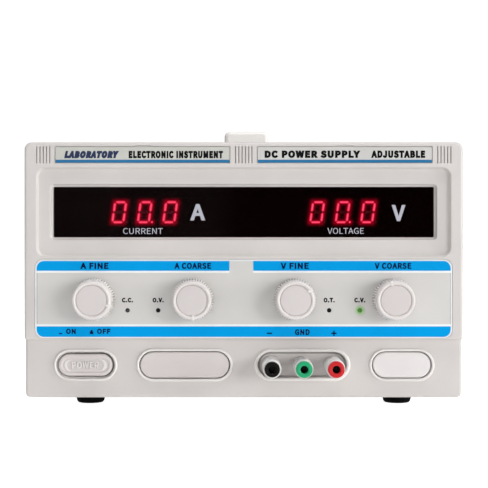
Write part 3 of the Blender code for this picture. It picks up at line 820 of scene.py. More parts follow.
def control_overlay():
    """The printed film around the knobs, with its blue bands and keylines."""
    x, z = film_box()
    back = spans("control_overlay")[1][1]
    film = loft(panel(x, z, 5.0), front_edge(0.1, FILM_FRONT, 2) + [(0, back)])
    finish_piece("overlay_film", cut(film, *control_holes(4.6, 2)), "film_edge", ["control_overlay"])

    keyline, line, corner, sharp = 1.3, 0.36, 4.4, 0.05
    band_x = shrunk(x, 0.95)
    top_band = (85.45, z[1] - 0.75)
    low_band = (z[0] + 0.6, 51.5)
    gap = (-8.7, 5.8)
    field_z = (low_band[1] + keyline, top_band[0] - keyline)
    field = straight(panel(shrunk(band_x, line), field_z, 0.1, 2), BAND_FRONT, FILM_FRONT)
    finish_piece("overlay_field", cut(field, *control_holes(4.6, 2)), "film")
    top_left = panel((band_x[0], gap[0]), top_band, (sharp, corner, sharp, sharp))
    top_right = panel((gap[1], band_x[1]), top_band, (corner, sharp, sharp, sharp))
    low = panel(band_x, low_band, (sharp, sharp, corner, corner))
    line_left = panel((band_x[0], band_x[0] + line), field_z, sharp, 1)
    line_right = panel((band_x[1] - line, band_x[1]), field_z, sharp, 1)
    between = panel(gap, (top_band[0] - keyline, top_band[1]), sharp, 1)
    printed("overlay_band_top_left", top_left, FILM_FRONT, "blue")
    printed("overlay_band_top_right", top_right, FILM_FRONT, "blue")
    printed("overlay_band_low", low, FILM_FRONT, "blue")
    printed("overlay_line_left", line_left, FILM_FRONT, "side_line")
    printed("overlay_line_right", line_right, FILM_FRONT, "side_line")
    printed("overlay_gap", between, FILM_FRONT, "film")
    overlay_words()


def overlay_words():
    """The film's captions and the marks of the switch and the posts."""
    words = {
        "current_fine": ("A FINE", 8.6),
        "current_coarse": ("A COARSE", 11.2),
        "voltage_fine": ("V FINE", 8.6),
        "voltage_coarse": ("V COARSE", 11.2),
    }
    for knob, (text, half) in words.items():
        x = middle("knob_" + knob)[0]
        lettering("words_" + knob, text, (x - half, x + half), (86.6, 90.3), BAND_FRONT, "navy", weight=0.02)
    low_words = {
        "on": ((-108.4, -102.5), (46.9, 50.1)),
        "off": ((-89.5, -81.3), (46.9, 50.1)),
        "ground": ((31.3, 40.3), (46.2, 49.8)),
    }
    for name, (x, z) in low_words.items():
        text = "GND" if name == "ground" else name.upper()
        lettering("words_" + name, text, x, z, BAND_FRONT, "navy", weight=0.02)
    marks = {
        "mark_on": panel((-112.7, -110.8), (46.8, 47.5), 0.05, 1),
        "mark_off_base": panel((-93.9, -91.8), (46.8, 48.3), 0.05, 1),
        "mark_off_top": panel((-93.5, -92.2), (48.3, 49.4), (0.6, 0.6, 0.05, 0.05), 3),
        "mark_minus": around(15.7, 47.3, 3.2, 0.8, 0.1, 2),
        "mark_plus_across": around(55.1, 47.3, 3.2, 0.8, 0.1, 2),
        "mark_plus_up": around(55.1, 47.3, 0.8, 3.2, 0.1, 2),
    }
    for name, outline in marks.items():
        printed(name, outline, BAND_FRONT, "navy")
    for lamp, (_, text) in LAMPS.items():
        x = middle("lamp_" + lamp)[0]
        lettering("words_" + lamp, text, (x - 3.4, x + 3.4), (66.1, 69.0), BAND_FRONT, "ink", weight=0.03)


def lamps():
    """The four indicator lamps. Only the one that shows a held voltage is lit."""
    for lamp, (look, _) in LAMPS.items():
        node = "lamp_" + lamp
        x, _, z = middle(node)
        front, back = spans(node)[1]
        dome = at(front, (0.02, 0), (0.55, 0.08), (0.95, 0.3), (1.2, 0.6), (1.32, 1.1))
        stem = [(1.32, 3.3), (1.9, 3.4), (1.9, 4.3), (0.8, 4.35), (0.8, back)]
        finish_piece("indicator_" + lamp, loft(disc(x, z, 24), dome + stem), look, [node])


# The meters behind the window

DIGIT_HEIGHT = 14.1
DIGIT_WIDTH = 8.5
DIGIT_PITCH = 15.7
DIGIT_SLANT = 0.145
STROKE = 1.75
CORE = 0.8
GLOW_REACH = 0.85
BAR_FRONT = 0.12


def segment_outline(start, end, stroke):
    """One bar of a digit between two points, with pointed ends."""
    (ax, az), (bx, bz) = start, end
    length = math.hypot(bx - ax, bz - az)
    ux, uz = (bx - ax) / length, (bz - az) / length
    half, gap = stroke / 2, 0.25 + (STROKE - stroke) / 2
    local = [
        (gap, 0), (gap + half, -half), (length - gap - half, -half), (length - gap, 0),
        (length - gap - half, half), (gap + half, half),
    ]
    return [(ax + ux * a - uz * b, az + uz * a + ux * b) for a, b in local]


def digit_segments(x, z):
    """The ends of a leaning digit's seven bars, by name, for a digit whose middle is at (x, z)."""
    w, h = (DIGIT_WIDTH - STROKE) / 2, (DIGIT_HEIGHT - STROKE) / 2
    upright = {
        "top": ((-w, h), (w, h)),
        "top_left": ((-w, 0), (-w, h)),
        "top_right": ((w, 0), (w, h)),
        "middle": ((-w, 0), (w, 0)),
        "low_left": ((-w, -h), (-w, 0)),
        "low_right": ((w, -h), (w, 0)),
        "bottom": ((-w, -h), (w, -h)),
    }
    return {
        name: tuple((x + px + DIGIT_SLANT * pz, z + pz) for px, pz in ends)
        for name, ends in upright.items()
    }


def distance_to(point, ends):
    """How far a point is from the line between two others."""
    (ax, az), (bx, bz) = ends
    length = math.hypot(bx - ax, bz - az)
    along = ((point[0] - ax) * (bx - ax) + (point[1] - az) * (bz - az)) / length ** 2
    along = min(max(along, 0), 1)
    return math.hypot(point[0] - ax - along * (bx - ax), point[1] - az - along * (bz - az))


def glow_sheet(name, x, z, depth, lit_bars):
    """A painted glow for the light that spills over a digit module's face: a fine sheet coloured by distance
    to a lit bar.
    """
    columns, rows = 140, 56
    shape = bmesh.new()
    layer = shape.loops.layers.float_color.new("glow")
    points = [
        [
            shape.verts.new((x[0] + (x[1] - x[0]) * i / columns, depth, z[0] + (z[1] - z[0]) * k / rows))
            for k in range(rows + 1)
        ]
        for i in range(columns + 1)
    ]
    for i in range(columns):
        for k in range(rows):
            shape.faces.new((points[i][k], points[i + 1][k], points[i + 1][k + 1], points[i][k + 1]))
    glow = {}
    for vertex in shape.verts:
        nearest = min(distance_to((vertex.co.x, vertex.co.z), ends) for ends in lit_bars)
        glow[vertex] = math.exp(-(max(nearest - STROKE / 2, 0) / GLOW_REACH) ** 1.3)
    for face in shape.faces:
        for loop in face.loops:
            loop[layer] = (glow[loop.vert],) * 3 + (1,)
    finish_piece(name, shape, "glow")


def bar(points, depth, thickness=0.3):
    """A flat bar with a slightly crowned front."""
    middle_x = sum(x for x, _ in points) / len(points)
    middle_z = sum(z for _, z in points) / len(points)

    def outline(offset):
        scale = 1 + offset
        return [(middle_x + (x - middle_x) * scale, middle_z + (z - middle_z) * scale) for x, z in points]

    return loft(outline, at(depth, (-0.12, -thickness), (0, -thickness * 0.6), (0, 0)))


def module(node, name):
    """One meter's three digits, all showing nought, with the point of the middle one lit."""
    centre_x, _, centre_z = middle(node)
    x, (face, _), z = spans(node)
    keep(node, "digit_face")
    lit, core, unlit, lit_ends = [], [], [], []
    for index in range(3):
        digit_x = centre_x + DIGIT_PITCH * (index - 1)
        for segment, ends in digit_segments(digit_x, centre_z).items():
            whole = bar(segment_outline(*ends, STROKE), face - BAR_FRONT)
            if segment == "middle":
                unlit.append(whole)
                continue
            lit.append(whole)
            core.append(bar(segment_outline(*ends, CORE), face - 0.4, 0.1))
            lit_ends.append(ends)
        dot_x, dot_z = digit_x + DIGIT_WIDTH / 2 + 0.15, centre_z - DIGIT_HEIGHT / 2 + 0.95
        round_dot = disc(dot_x, dot_z, 20)
        dot = loft(round_dot, at(face, (0.6, -0.35), (0.8, -0.25), (0.8, -BAR_FRONT)))
        if index == 1:
            lit.append(dot)
            core.append(straight(round_dot, face - 0.5, face - 0.4, 0.4))
            lit_ends.append(((dot_x, dot_z), (dot_x + 0.01, dot_z)))
        else:
            unlit.append(dot)
    finish_piece("digits_lit_" + name, added(*lit), "segment_on")
    finish_piece("digits_core_" + name, added(*core), "segment_core")
    finish_piece("digits_unlit_" + name, added(*unlit), "segment_off")
    glow_sheet("digits_painted_glow_" + name, shrunk(x, 0.3), shrunk(z, 0.3), face - 0.06, lit_ends)


def meters():
    """The window, its dark shroud, the lit digits and the printed units and captions."""
    modules = {"current_display": "current", "voltage_display": "voltage"}
    x, (front, back), z = spans("display_window")
    outline = panel(x, z, 0.8, 4)
    window = loft(outline, front_edge(0.25, front, 3) + [(0, back)])
    finish_piece("window_acrylic", window, "window", ["display_window"])
    holes = []
    for node in modules:
        hole_x, _, hole_z = spans(node)
        holes.append(plain(shrunk(hole_x, 0.2), (0, 12), shrunk(hole_z, 0.2)))
    shroud = straight(outline, back + 0.04, back + 0.28, -0.05)
    finish_piece("display_shroud", cut(shroud, *holes), "shroud")
    for node, name in modules.items():
        module(node, name)
    legends = {
        "unit_current": ("A", (-32.9, -23.6), (116.3, 126.3), 0.013),
        "unit_voltage": ("V", (90.9, 99.4), (115.9, 125.8), 0.013),
        "caption_current": ("CURRENT", (-74.1, -49.7), (107.9, 111.6), 0.0005),
        "caption_voltage": ("VOLTAGE", (51.5, 73.8), (108.0, 111.7), 0.0005),
    }
    for name, (text, text_x, text_z, weight) in legends.items():
        lettering(name, text, text_x, text_z, front, "legend", 0.03, weight)


# Controls

def knobs():
    """Each knob: a fluted skirt, a smooth crown with an inset cap disc, and the pointer over its edge."""
    smooth = disc(sides=96)
    flutes = disc(sides=480, ridges=48, ridge=1.5)
    for knob, angle in KNOBS.items():
        body = "knob_" + knob
        x, _, z = middle(body)
        front = spans(body)[1][0] + 0.3
        turn = Matrix.Translation((x, 0, z)) @ Matrix.Rotation(math.radians(angle), 4, "Y")
        rounded = at(
            front, (0.05, 1.0), (9.3, 1.0), (9.4, 0.7), (9.65, 0.32), (10.1, 0.08), (10.6, 0),
            (11.0, 0.12), (11.35, 0.45), (11.55, 1.0),
        )
        crown = loft(smooth, rounded + [(11.7, -9.2), (11.6, -9.0), (0.05, -9.0)])
        skirt = loft(flutes, [
            (5.0, -9.4), (12.2, -9.4), (12.45, -9.1), (12.6, -8.6), (12.95, -1.5), (12.95, -0.9),
            (12.7, -0.7), (5.0, -0.7),
        ])
        skirt = cut(skirt, straight(disc(), -5.2, 0, 5.0))
        cap = loft(smooth, at(
            front, (0.05, 0.28), (6.0, 0.26), (8.55, 0.3), (8.97, 0.45), (9.1, 0.8), (9.1, 0.98)
        ))
        pointer = loft(
            panel((-0.7, 0.7), (8.9, 12.1), 0.45, 5),
            at(front, (-0.35, -0.25), (-0.12, -0.18), (0, 0), (0, 6.0)),
        )
        for shape in (crown, skirt, cap, pointer):
            shape.transform(turn)
        finish_piece(body + "_crown", crown, "knob", [body], body)
        # The skirt wears the paler rim plastic: a painted highlight on the knob's own plastic.
        finish_piece(body + "_skirt", skirt, "rim", body=body, sharp=30)
        finish_piece(body + "_cap", cap, "knob_cap", body=body)
        finish_piece(body + "_pointer", pointer, "pointer", body=body)


def power_button():
    """The oblong button: a raised rim round a sunk panel, with embossed letters between two crescents."""
    body = "power_button"
    x, _, z = middle(body)
    front = spans(body)[1][0]
    sunk = 0.6
    cap = loft(oblong_of(body, 0.4), front_edge(1.3, front, 6) + [(0, 9.0)])
    hollow = loft(oblong_of(body, 5.4), at(
        front, (1.4, -0.3), (0.5, 0), (0.12, sunk * 0.5), (-0.1, sunk * 0.85), (-0.4, sunk)
    ))
    stem = plain((x - 4, x + 4), (8.5, 21.5), (z - 4, z + 4))
    finish_piece("power_button_cap", join(cut(cap, hollow), stem), "button", [body], body)
    # The embossed letters wear the paler plastic: a painted highlight on the button's own plastic.
    lettering(
        "power_button_words", "POWER", (x - 8.4, x + 8.4), (z - 2.2, z + 2.2), front + sunk, "bright",
        0.85, weight=0.02, body=body,
    )
    crescents = []
    for side in (-1, 1):
        ring = loft(disc(x + side * 9.4, z, 40), at(front, (3.3, 0.12), (3.55, 0.3), (3.55, sunk + 0.1)))
        bite = loft(disc(x + side * 7.7, z, 40), at(front, (3.9, -1), (3.4, 1)))
        crescents.append(cut(ring, bite))
    # The crescents wear the paler rim plastic: a painted highlight on the button's own plastic.
    finish_piece("power_button_crescents", added(*crescents), "rim", body=body)


def binding_posts():
    """Each post: a coloured nose with its socket, a fluted grey grip, the clamp washer and the stud."""
    for post, radius in POSTS.items():
        node = "post_cap_" + post
        x, _, z = middle(node)
        front, back = spans(node)[1]
        round_64, round_48 = disc(x, z, 64), disc(x, z, 48)
        nose = loft(round_64, at(
            front, (2.3, 3.1), (2.3, 1.1), (2.4, 0.5), (2.75, 0.15), (3.05, 0), (radius - 0.65, 0),
            (radius - 0.2, 0.2), (radius, 0.7), (radius, 6.3), (4.3, 6.3), (4.3, 9.0), (2.65, 9.0),
            (2.65, 3.1),
        ), ring=True)
        finish_piece("nose_" + post, nose, "post_" + post, [node], node)
        grip_front = at(front, (4.35, 4.0), (5.1, 4.0), (5.45, 4.2), (5.65, 4.8), (5.7, 8.0))
        grip_back = at(back, (5.7, -3.0), (5.65, -0.4), (5.3, 0), (3.4, 0))
        grip_inside = at(front, (3.4, 9.2), (4.35, 9.2))
        grip = loft(
            disc(x, z, 256, ridges=32, ridge=0.7), grip_front + grip_back + grip_inside, ring=True
        )
        inner = radius + 0.03
        collar = loft(round_64, at(
            front, (inner, 3.2), (5.2, 3.2), (5.45, 3.4), (5.5, 4.1), (inner, 4.1)
        ), ring=True)
        finish_piece("grip_" + post, added(grip, collar), "post_grey", body=node, sharp=60)
        post_inside(post, round_48)


def post_inside(post, outline):
    """The parts in and behind a post: the stud with its socket, the base, a black sleeve and plug in the
    socket's bore that paint the shade deep in the hole, and the washer.
    """
    stud = "post_stud_" + post
    front, back = spans(stud)[1]
    mouth = at(front, (2.22, 0.2), (2.3, 0), (2.38, 0), (2.45, 0.3), (2.45, 3), (2.55, 3.1))
    nut = [(2.55, 4.6), (2.95, 4.7), (2.95, 11.3), (5.0, 11.3), (5.0, 14.6), (2.95, 14.6)]
    end = at(back, (2.95, -0.4), (2.5, 0), (0.02, 0))
    socket = loft(outline, [(0.02, -1.0), (2.22, -1.0), *mouth, *nut, *end])
    finish_piece("socket_" + post, socket, "brass", [stud])
    base = loft(outline, [(3.0, 4.4), (5.3, 4.4), (5.6, 4.7), (5.6, 7.6), (3.0, 7.6)], ring=True)
    finish_piece("base_" + post, base, "post_grey")
    # A black sleeve and plug in the socket's bore: painted shade where the hole is deep.
    shade_plug = loft(outline, [
        (2.0, front + 0.6), (2.18, front + 0.35), (2.18, -1.2), (0.02, -1.2), (0.02, front + 9.0),
        (2.0, front + 9.0),
    ], ring=True)
    finish_piece("shade_plug_" + post, shade_plug, "lamp_dark")
    node = "post_washer_" + post
    near, far = spans(node)[1]
    washer = loft(outline, [
        (3.4, near), (4.6, near), (4.7, near + 0.1), (4.7, far - 0.1), (4.6, far), (3.4, far),
    ], ring=True)
    finish_piece("washer_" + post, washer, "screw", [node], node)


# Case, feet and handle

def case():
    """The folded top cover with its side slots, the tray, and the rear panel."""
    x, (near, far), (low_z, high_z) = spans("top_cover")
    sheet = 1.2
    outer = straight(panel(x, (low_z - 8, high_z), (2.4, 2.4, 0.1, 0.1)), near, far)
    inner = straight(
        panel(shrunk(x, sheet), (low_z - 12, high_z - sheet), (1.2, 1.2, 0.1, 0.1)), near - 5, far + 5
    )
    floor_cut = plain(shrunk(x, -5), (near - 5, far + 5), (low_z - 20, low_z))
    slots = []
    for side in x:
        for first in (60.0, 236.0):
            for index in range(9):
                outline = oblong(first + 1.5 + 7.0 * index, 87.0, 3.0, 50.0, 6)
                slots.append(swapped(straight(outline, side - 3, side + 3), 0, 1))
    finish_piece("cover_shell", cut(outer, inner, floor_cut, *slots), "cover", ["top_cover"])
    keep("chassis_tray", "steel")
    keep("rear_panel", "cover")


def feet():
    """Four rubber feet: tapered, with a rounded foot and a hollow for the screw."""
    for node in [f"foot_{end}_{side}" for end in ("front", "rear") for side in ("left", "right")]:
        x, depth, _ = middle(node)
        top = spans(node)[2][1]
        profile = [
            (0.05, 3.0), (3.4, 3.0), (3.6, 2.6), (3.7, 0.5), (4.1, 0.08), (4.6, 0), (6.9, 0),
            (7.7, 0.15), (8.2, 0.6), (8.7, 1.2), (9.1, 3.0), (9.2, top - 0.5), (9.1, top - 0.1),
            (8.9, top), (0.05, top),
        ]
        foot = swapped(loft(disc(x, depth, 64), profile), 1, 2)
        finish_piece("rubber_" + node, foot, "rubber", [node])


def handle_ends():
    """The two end caps, each a little wider and lower than its node, and open towards the grip."""
    for end in ("front", "rear"):
        node = "handle_cap_" + end
        (low_x, high_x), (near, far), (low_z, high_z) = spans(node)
        high_x, high_z = high_x + 0.6, high_z - 1.2
        cap = loft(
            panel((low_x, high_x), (low_z, high_z), (3.6, 3.6, 0.3, 0.3)),
            front_edge(2.6, near, 6) + back_edge(2.6, far, 6),
        )
        mouth = (near + 3, far + 5) if end == "front" else (near - 5, far - 3)
        hollow = panel((low_x + 1.6, high_x - 1.6), (low_z - 3, high_z - 1.8), (2.2, 2.2, 0.1, 0.1), 5)
        finish_piece("handle_end_" + end, cut(cap, straight(hollow, *mouth)), "handle", [node])


def handle():
    """The strap handle: end caps, a strap in two halves that reach from the links to the middle, and a
    ribbed grip.
    """
    handle_ends()
    x, (near, far), z = spans("handle_grip")
    link_length = size("handle_link_front")[1]
    centre = (near + far) / 2
    rings = 60
    for end, hinge, side in (("front", near, -1), ("rear", far, 1)):
        link = "handle_link_" + end
        first, last = sorted((hinge + side * (link_length - 0.2), centre + side * 0.15))
        depths = [first + (last - first) * step / rings for step in range(rings + 1)]
        strap = loft(panel(x, shrunk(z, 0.8), 1.4, 5), [(0, depth) for depth in depths])
        nodes = [link, "handle_grip"] if end == "front" else [link]
        piece = finish_piece("strap_" + end, strap, "handle", nodes, body=None)
        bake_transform(piece)

    half = 38
    sleeve = loft(panel(shrunk(x, -0.9), z, 2.2, 6), [
        *at(centre - half, (-0.9, 0), (-0.3, 0.4), (0, 1.2)),
        *at(centre + half, (0, -1.2), (-0.3, -0.4), (-0.9, 0)),
    ])
    ribs = []
    for index in range(13):
        depth = centre + 5.0 * (index - 6)
        ribs.append(plain(shrunk(x, 2.5), (depth - 0.6, depth + 0.6), (z[1] - 0.35, z[1] + 1)))
    finish_piece("handle_sleeve", cut(sleeve, *ribs), "handle", body="handle_grip")


# The back and the inside

def screw_head(radius=3.2, height=1.9):
    """A pan head with a cross recess, its flat side on depth 0 and its crown towards the front."""
    head = loft(disc(sides=40), [
        (0.05, -height), (radius * 0.5, -height * 0.95), (radius * 0.8, -height * 0.72),
        (radius * 0.95, -height * 0.4), (radius, -0.3), (radius, 0), (0.05, 0),
    ])
    arm, slit = radius * 0.55, radius * 0.11
    depths = (-height - 1, -height * 0.35)
    return cut(head, plain((-arm, arm), depths, (-slit, slit)), plain((-slit, slit), depths, (-arm, arm)))


def facing(degrees, x, depth, z):
    """Carries a screw head to a place and turns it about Z, so that it faces away from the case."""
    return Matrix.Translation((x, depth, z)) @ Matrix.Rotation(math.radians(degrees), 4, "Z")


def screws():
    """The screws of the case's sides, the rear panel, the fan guard and the inlet."""
    right, left, back = 90, -90, 180
    (low_x, high_x), (near, far), (low_z, _) = spans("top_cover")
    places = []
    for depth in (near + 22, (near + far) / 2, far - 18):
        places.append(facing(right, high_x + 0.1, depth, low_z + 7))
        places.append(facing(left, low_x - 0.1, depth, low_z + 7))
    x, (_, rear), z = spans("rear_panel")
    for screw_x in (x[0] + 6, 10.0, x[1] - 6):
        places += [facing(back, screw_x, rear + 0.1, screw_z) for screw_z in (z[0] + 8, z[1] - 6)]
    finish_piece("case_screws", copied(screw_head(), places), "screw")

    x, (_, rear), z = spans("fan_guard")
    corners = [(corner_x, corner_z) for corner_x in shrunk(x, 5) for corner_z in shrunk(z, 5)]
    places = [facing(back, corner_x, rear + 0.1, corner_z) for corner_x, corner_z in corners]
    finish_piece("guard_screws", copied(screw_head(), places), "black")
    x, (_, rear), z = spans("mains_inlet")
    places = [facing(back, ear_x, rear - 0.2, sum(z) / 2) for ear_x in shrunk(x, 5)]
    finish_piece("inlet_screws", copied(screw_head(2.6, 1.5), places), "screw")


def fan():
    """The fan: a frame with corner holes, curved blades on a hub, and the stamped guard."""
    frame_x, (near, far), frame_z = spans("fan_frame")
    x, z = sum(frame_x) / 2, sum(frame_z) / 2
    half = size("fan_frame")[0] / 2
    body = loft(panel(frame_x, frame_z, 4.0), front_edge(0.5, near, 2) + back_edge(0.5, far, 2))
    tools = [straight(disc(x, z, 96), near - 2, far + 2, 38.0)]
    reach = half - 4.5
    for side_x in (-1, 1):
        for side_z in (-1, 1):
            corner = disc(x + side_x * reach, z + side_z * reach, 20)
            tools.append(straight(corner, near - 2, far + 2, 2.1))
    mount = loft(disc(x, z, 48), at(near, (13.6, 0), (14.0, 0.4), (14.0, 3)))
    long, thin = half - 1, 2
    struts = [
        plain((x - long, x + long), (near + 0.4, near + 2.4), (z - thin, z + thin)),
        plain((x - thin, x + thin), (near + 0.6, near + 2.6), (z - long, z + long)),
    ]
    finish_piece("fan_housing", join(cut(body, *tools), mount, *struts), "black", ["fan_frame"])

    near, far = near + 4, far - 4
    hub_front, hub_back = at(near, (15.5, 0), (16.0, 0.5)), at(far, (16.0, -1.2), (15.2, -0.3), (14.2, 0))
    hub = loft(disc(x, z, 64), [*hub_front, *hub_back, (0.05, far)])
    blades = [fan_blade(x, z, math.tau * number / 7, near + 1.0, far - 1.0) for number in range(7)]
    finish_piece("fan_blades", join(hub, *blades), "black", ["fan_rotor"], "fan_rotor")

    guard_x, (near, far), guard_z = spans("fan_guard")
    guard = loft(panel(guard_x, guard_z, 4.0), front_edge(0.2, near, 2) + back_edge(0.3, far, 2))
    slots = []
    for radius in (10.0, 17.5, 25.0, 32.5):
        for quarter in range(4):
            slots.append(arc_slot(x, z, radius, radius + 5.5, quarter, near - 2, far + 2))
    finish_piece("guard_plate", cut(guard, *slots), "steel", ["fan_guard"])


def arc_slot(x, z, inner, outer, quarter, near, far):
    """A quarter ring that cuts one curved slot of the guard."""
    steps = 14
    start = math.pi / 2 * quarter + math.pi / 4

    def outline(_):
        points = []
        for radius, order in ((outer, range(steps + 1)), (inner, range(steps, -1, -1))):
            margin = 1.6 / radius
            for step in order:
                angle = start + margin + (math.pi / 2 - 2 * margin) * step / steps
                points.append((x + radius * math.cos(angle), z + radius * math.sin(angle)))
        return points

    return straight(outline, near, far)


def fan_blade(x, z, turn, near, far):
    """One blade: a thin curved sheet, twisted from the hub to its tip."""
    shape = bmesh.new()
    rows, chords = 8, 8
    grids = {1: [], -1: []}
    for face, grid in grids.items():
        for i in range(rows + 1):
            radius = 15.0 + 20.8 * i / rows
            reach = 0.62 - 0.18 * i / rows
            row = []
            for k in range(chords + 1):
                share = k / chords
                angle = turn + reach * (share - 0.5) * 1.15 + 0.10 * math.sin(math.pi * i / rows)
                camber = 1.2 * math.sin(math.pi * share)
                thickness = 0.35 + 0.45 * math.sin(math.pi * share)
                depth = near + (far - near) * share + camber + face * thickness
                depth = min(max(depth, near), far)
                place = (x + radius * math.cos(angle), depth, z + radius * math.sin(angle))
                row.append(shape.verts.new(place))
            grid.append(row)
        for i in range(rows):
            for k in range(chords):
                shape.faces.new((grid[i][k], grid[i][k + 1], grid[i + 1][k + 1], grid[i + 1][k]))
    top, under = grids[1], grids[-1]
    for i in range(rows):
        for k in (0, chords):
            shape.faces.new((top[i][k], top[i + 1][k], under[i + 1][k], under[i][k]))
    for i in (0, rows):
        for k in range(chords):
            shape.faces.new((top[i][k], top[i][k + 1], under[i][k + 1], under[i][k]))
    return tidy(shape)


def mains_inlet():
    """The inlet: a flange on the rear panel, a housing inside it, and three pins in its cavity."""
    node_x, (near, far), node_z = spans("mains_inlet")
    x, z = sum(node_x) / 2, sum(node_z) / 2
    floor = 314
    seat = spans("rear_panel")[1][1] + 0.3
    flange = loft(panel(node_x, node_z, 4.0), [(0, seat)] + back_edge(0.6, far, 4))
    housing = straight(around(x, z, 27.0, 19.6, 1.5, 4), near, seat + 0.5)
    cavity = loft(
        panel((x - 12.1, x + 12.1), (z - 8.2, z + 8.2), (4.5, 4.5, 1.2, 1.2), 5),
        [(0, floor), *at(far, (0, -0.4), (0.4, 0.1), (0.5, 2))],
    )
    finish_piece("inlet_body", cut(join(flange, housing), cavity), "black", ["mains_inlet"])
    pins = []
    for across, up in ((-7, -2), (0, 2), (7, -2)):
        pin = around(x + across, z + up, 2.0, 4.0, 0.3, 3)
        pins.append(loft(pin, [(0, floor + 0.05), (0, far - 5.0), (-0.5, far - 4.2)]))
    finish_piece("inlet_pins", added(*pins), "screw")


def fuse():
    """The fuse holder, and its knurled cap with a coin slot."""
    x, _, z = middle("fuse_holder")
    near, far = spans("fuse_holder")[1]
    seat = spans("rear_panel")[1][1] + 0.3
    floor = 312.0
    holder = loft(disc(x, z, 64), [
        (0.05, near), (5.6, near), (6.0, near + 0.4), (6.0, seat), (8.2, seat), (8.2, far - 0.5),
        (7.8, far), (5.0, far), (5.0, floor), (0.05, floor),
    ])
    finish_piece("fuse_socket", holder, "black", ["fuse_holder"])
    cap_near, cap_far = spans("fuse_cap")[1]
    cap = loft(disc(x, z, 144, ridges=24, ridge=0.3), [
        *at(cap_near, (0.05, 0), (4.2, 0), (4.4, 0.3)),
        *at(far, (4.4, 0.3), (6.2, 0.3), (6.6, 0.7)),
        *at(cap_far, (6.5, -1.0), (6.1, -0.25), (5.6, 0), (0.05, 0)),
    ])
    coin_slot = plain((x - 8, x + 8), (cap_far - 1.5, cap_far + 1), (z - 0.7, z + 0.7))
    finish_piece("fuse_cap_turned", cut(cap, coin_slot), "black", ["fuse_cap"], "fuse_cap", sharp=60)


def rear_fittings():
    """The mains inlet and the fuse holder."""
    mains_inlet()
    fuse()


def inside():
    """Materials for the inner nodes, and the small things on the boards that have no node."""
    inner_looks = {
        "front_board": "board", "main_board": "board", "heatsink": "aluminium", "transformer": "ferrite",
        "capacitor": "sleeve", "output_choke": "copper", "power_switch": "black",
    }
    for node, look in inner_looks.items():
        keep(node, look)
    for knob in KNOBS:
        keep("shaft_" + knob, "screw")
        keep("potentiometer_" + knob, "steel")

    x, (near, far), (board_foot, board_top) = spans("main_board")
    tray_floor = spans("chassis_tray")[2][0] + 1.2
    spacers = []
    for spacer_x in shrunk(x, 6):
        for depth in shrunk((near, far), 6):
            spacer = straight(disc(spacer_x, depth, 6), tray_floor, board_foot, 3.2)
            spacers.append(swapped(spacer, 1, 2))
    finish_piece("board_spacers", added(*spacers), "brass")
    small_capacitors(near, board_top)
    transistors(board_top)


def small_capacitors(near, board_top):
    """Rows of small capacitors on the main board, with two gaps for the larger parts."""
    small = []
    for column in range(9):
        for row in range(4):
            x = -95 + 17.0 * row
            depth = near + 18 + 20.0 * column
            if abs(x + 60) < 20 and 95 < depth < 145 or abs(x + 40) < 25 and depth > 210:
                continue
            radius = 3.0 + (column + row) % 3
            height = board_top + 7.0 + 3.0 * ((column * row) % 3)
            foot = board_top + 0.1
            profile = [
                (0.05, foot), (radius, foot), (radius, height - 0.5), (radius - 0.5, height),
                (0.05, height),
            ]
            small.append(swapped(loft(disc(x, depth, 24), profile), 1, 2))
    finish_piece("small_capacitors", added(*small), "sleeve")


def transistors(board_top):
    """Five power transistors on the heatsink's side, each on three legs."""
    (side, _), (near, _), (foot, _) = spans("heatsink")
    parts = []
    for index in range(5):
        depth = near + 20 + 27 * index
        parts.append(plain((side - 5.2, side - 0.2), (depth - 8, depth + 8), (foot + 12, foot + 33)))
        for leg in (-5.4, 0, 5.4):
            leg_depths = (depth + leg - 0.6, depth + leg + 0.6)
            parts.append(plain((side - 3.4, side - 2.6), leg_depths, (board_top, foot + 12.1)))
    finish_piece("transistors", added(*parts), "black")


# Surroundings

def seen_only(tree, seen, lighting):
    """A strength that is one value where the camera looks and another for the light it gives."""
    path = new_node(tree, "LightPath")
    return blended(tree, lighting, seen, path.outputs["Is Camera Ray"], "FLOAT")


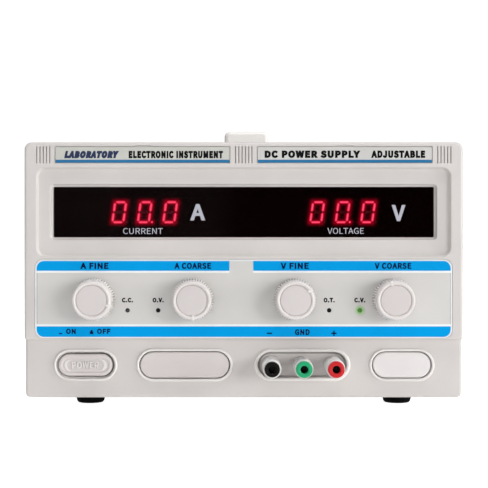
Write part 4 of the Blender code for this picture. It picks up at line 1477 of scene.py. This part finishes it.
def floor_and_sky():
    """A pale table under a white studio, both brighter to the camera than the light they give."""
    scene = bpy.context.scene
    shape = bmesh.new()
    bmesh.ops.create_grid(shape, x_segments=1, y_segments=1, size=30)
    mesh = bpy.data.meshes.new("floor")
    shape.to_mesh(mesh)
    shape.free()
    floor = bpy.data.objects.new("floor", mesh)
    scene.collection.objects.link(floor)
    paint = surface("table", (0.84, 0.84, 0.84), 0.7, 3.0, 0.02, mottle=0.005)
    tree = paint.node_tree
    feed(tree, tree.nodes["Principled BSDF"], {
        "Emission Color": (1, 1, 1, 1),
        "Emission Strength": seen_only(tree, FLOOR_GLOW, FLOOR_LIGHT),
    })
    mesh.materials.append(paint)

    world = bpy.data.worlds.new("studio")
    world.use_nodes = True
    tree = world.node_tree
    direction = new_node(tree, "TexCoord").outputs["Generated"]
    split = new_node(tree, "SeparateXYZ", {"Vector": direction})
    darker_front = ranged(tree, split.outputs["Y"], SKY_LIGHT * 0.12, SKY_LIGHT, -1.0, -0.25, "SMOOTHSTEP")
    feed(tree, tree.nodes["Background"], {
        "Color": (1, 1, 1, 1),
        "Strength": seen_only(tree, SKY_GLOW, darker_front),
    })
    scene.world = world


def studio_lights():
    """Four soft boxes: a key and a grazing edge at the right, a weak fill at the left, and one above."""
    for name, (place, width, power) in LIGHTS.items():
        light = bpy.data.lights.new(name, "AREA")
        light.size = width
        light.energy = power
        lamp = bpy.data.objects.new(name, light)
        bpy.context.scene.collection.objects.link(lamp)
        lamp.location = place
        aim = Vector((0, 0, 0.08)) - Vector(place)
        lamp.rotation_euler = aim.to_track_quat("-Z", "Y").to_euler()


def camera():
    """A level camera in front of the object, at the distance that gives the bezel its perspective."""
    data = bpy.data.cameras.new("camera")
    data.lens = LENS
    data.sensor_width = 36
    viewer = bpy.data.objects.new("camera", data)
    bpy.context.scene.collection.objects.link(viewer)
    viewer.location = Vector((CAMERA_X, FRONT - CAMERA_DISTANCE, CAMERA_Z)) * MM
    viewer.rotation_euler = (math.radians(90), 0, 0)
    bpy.context.scene.camera = viewer
    bpy.context.scene.view_settings.view_transform = "Standard"


paint_lamp_glow_on_film()
bezel()
rims()
name_plates()
control_overlay()
lamps()
meters()
knobs()
power_button()
binding_posts()
case()
feet()
handle()
screws()
fan()
rear_fittings()
inside()
floor_and_sky()
studio_lights()
camera()
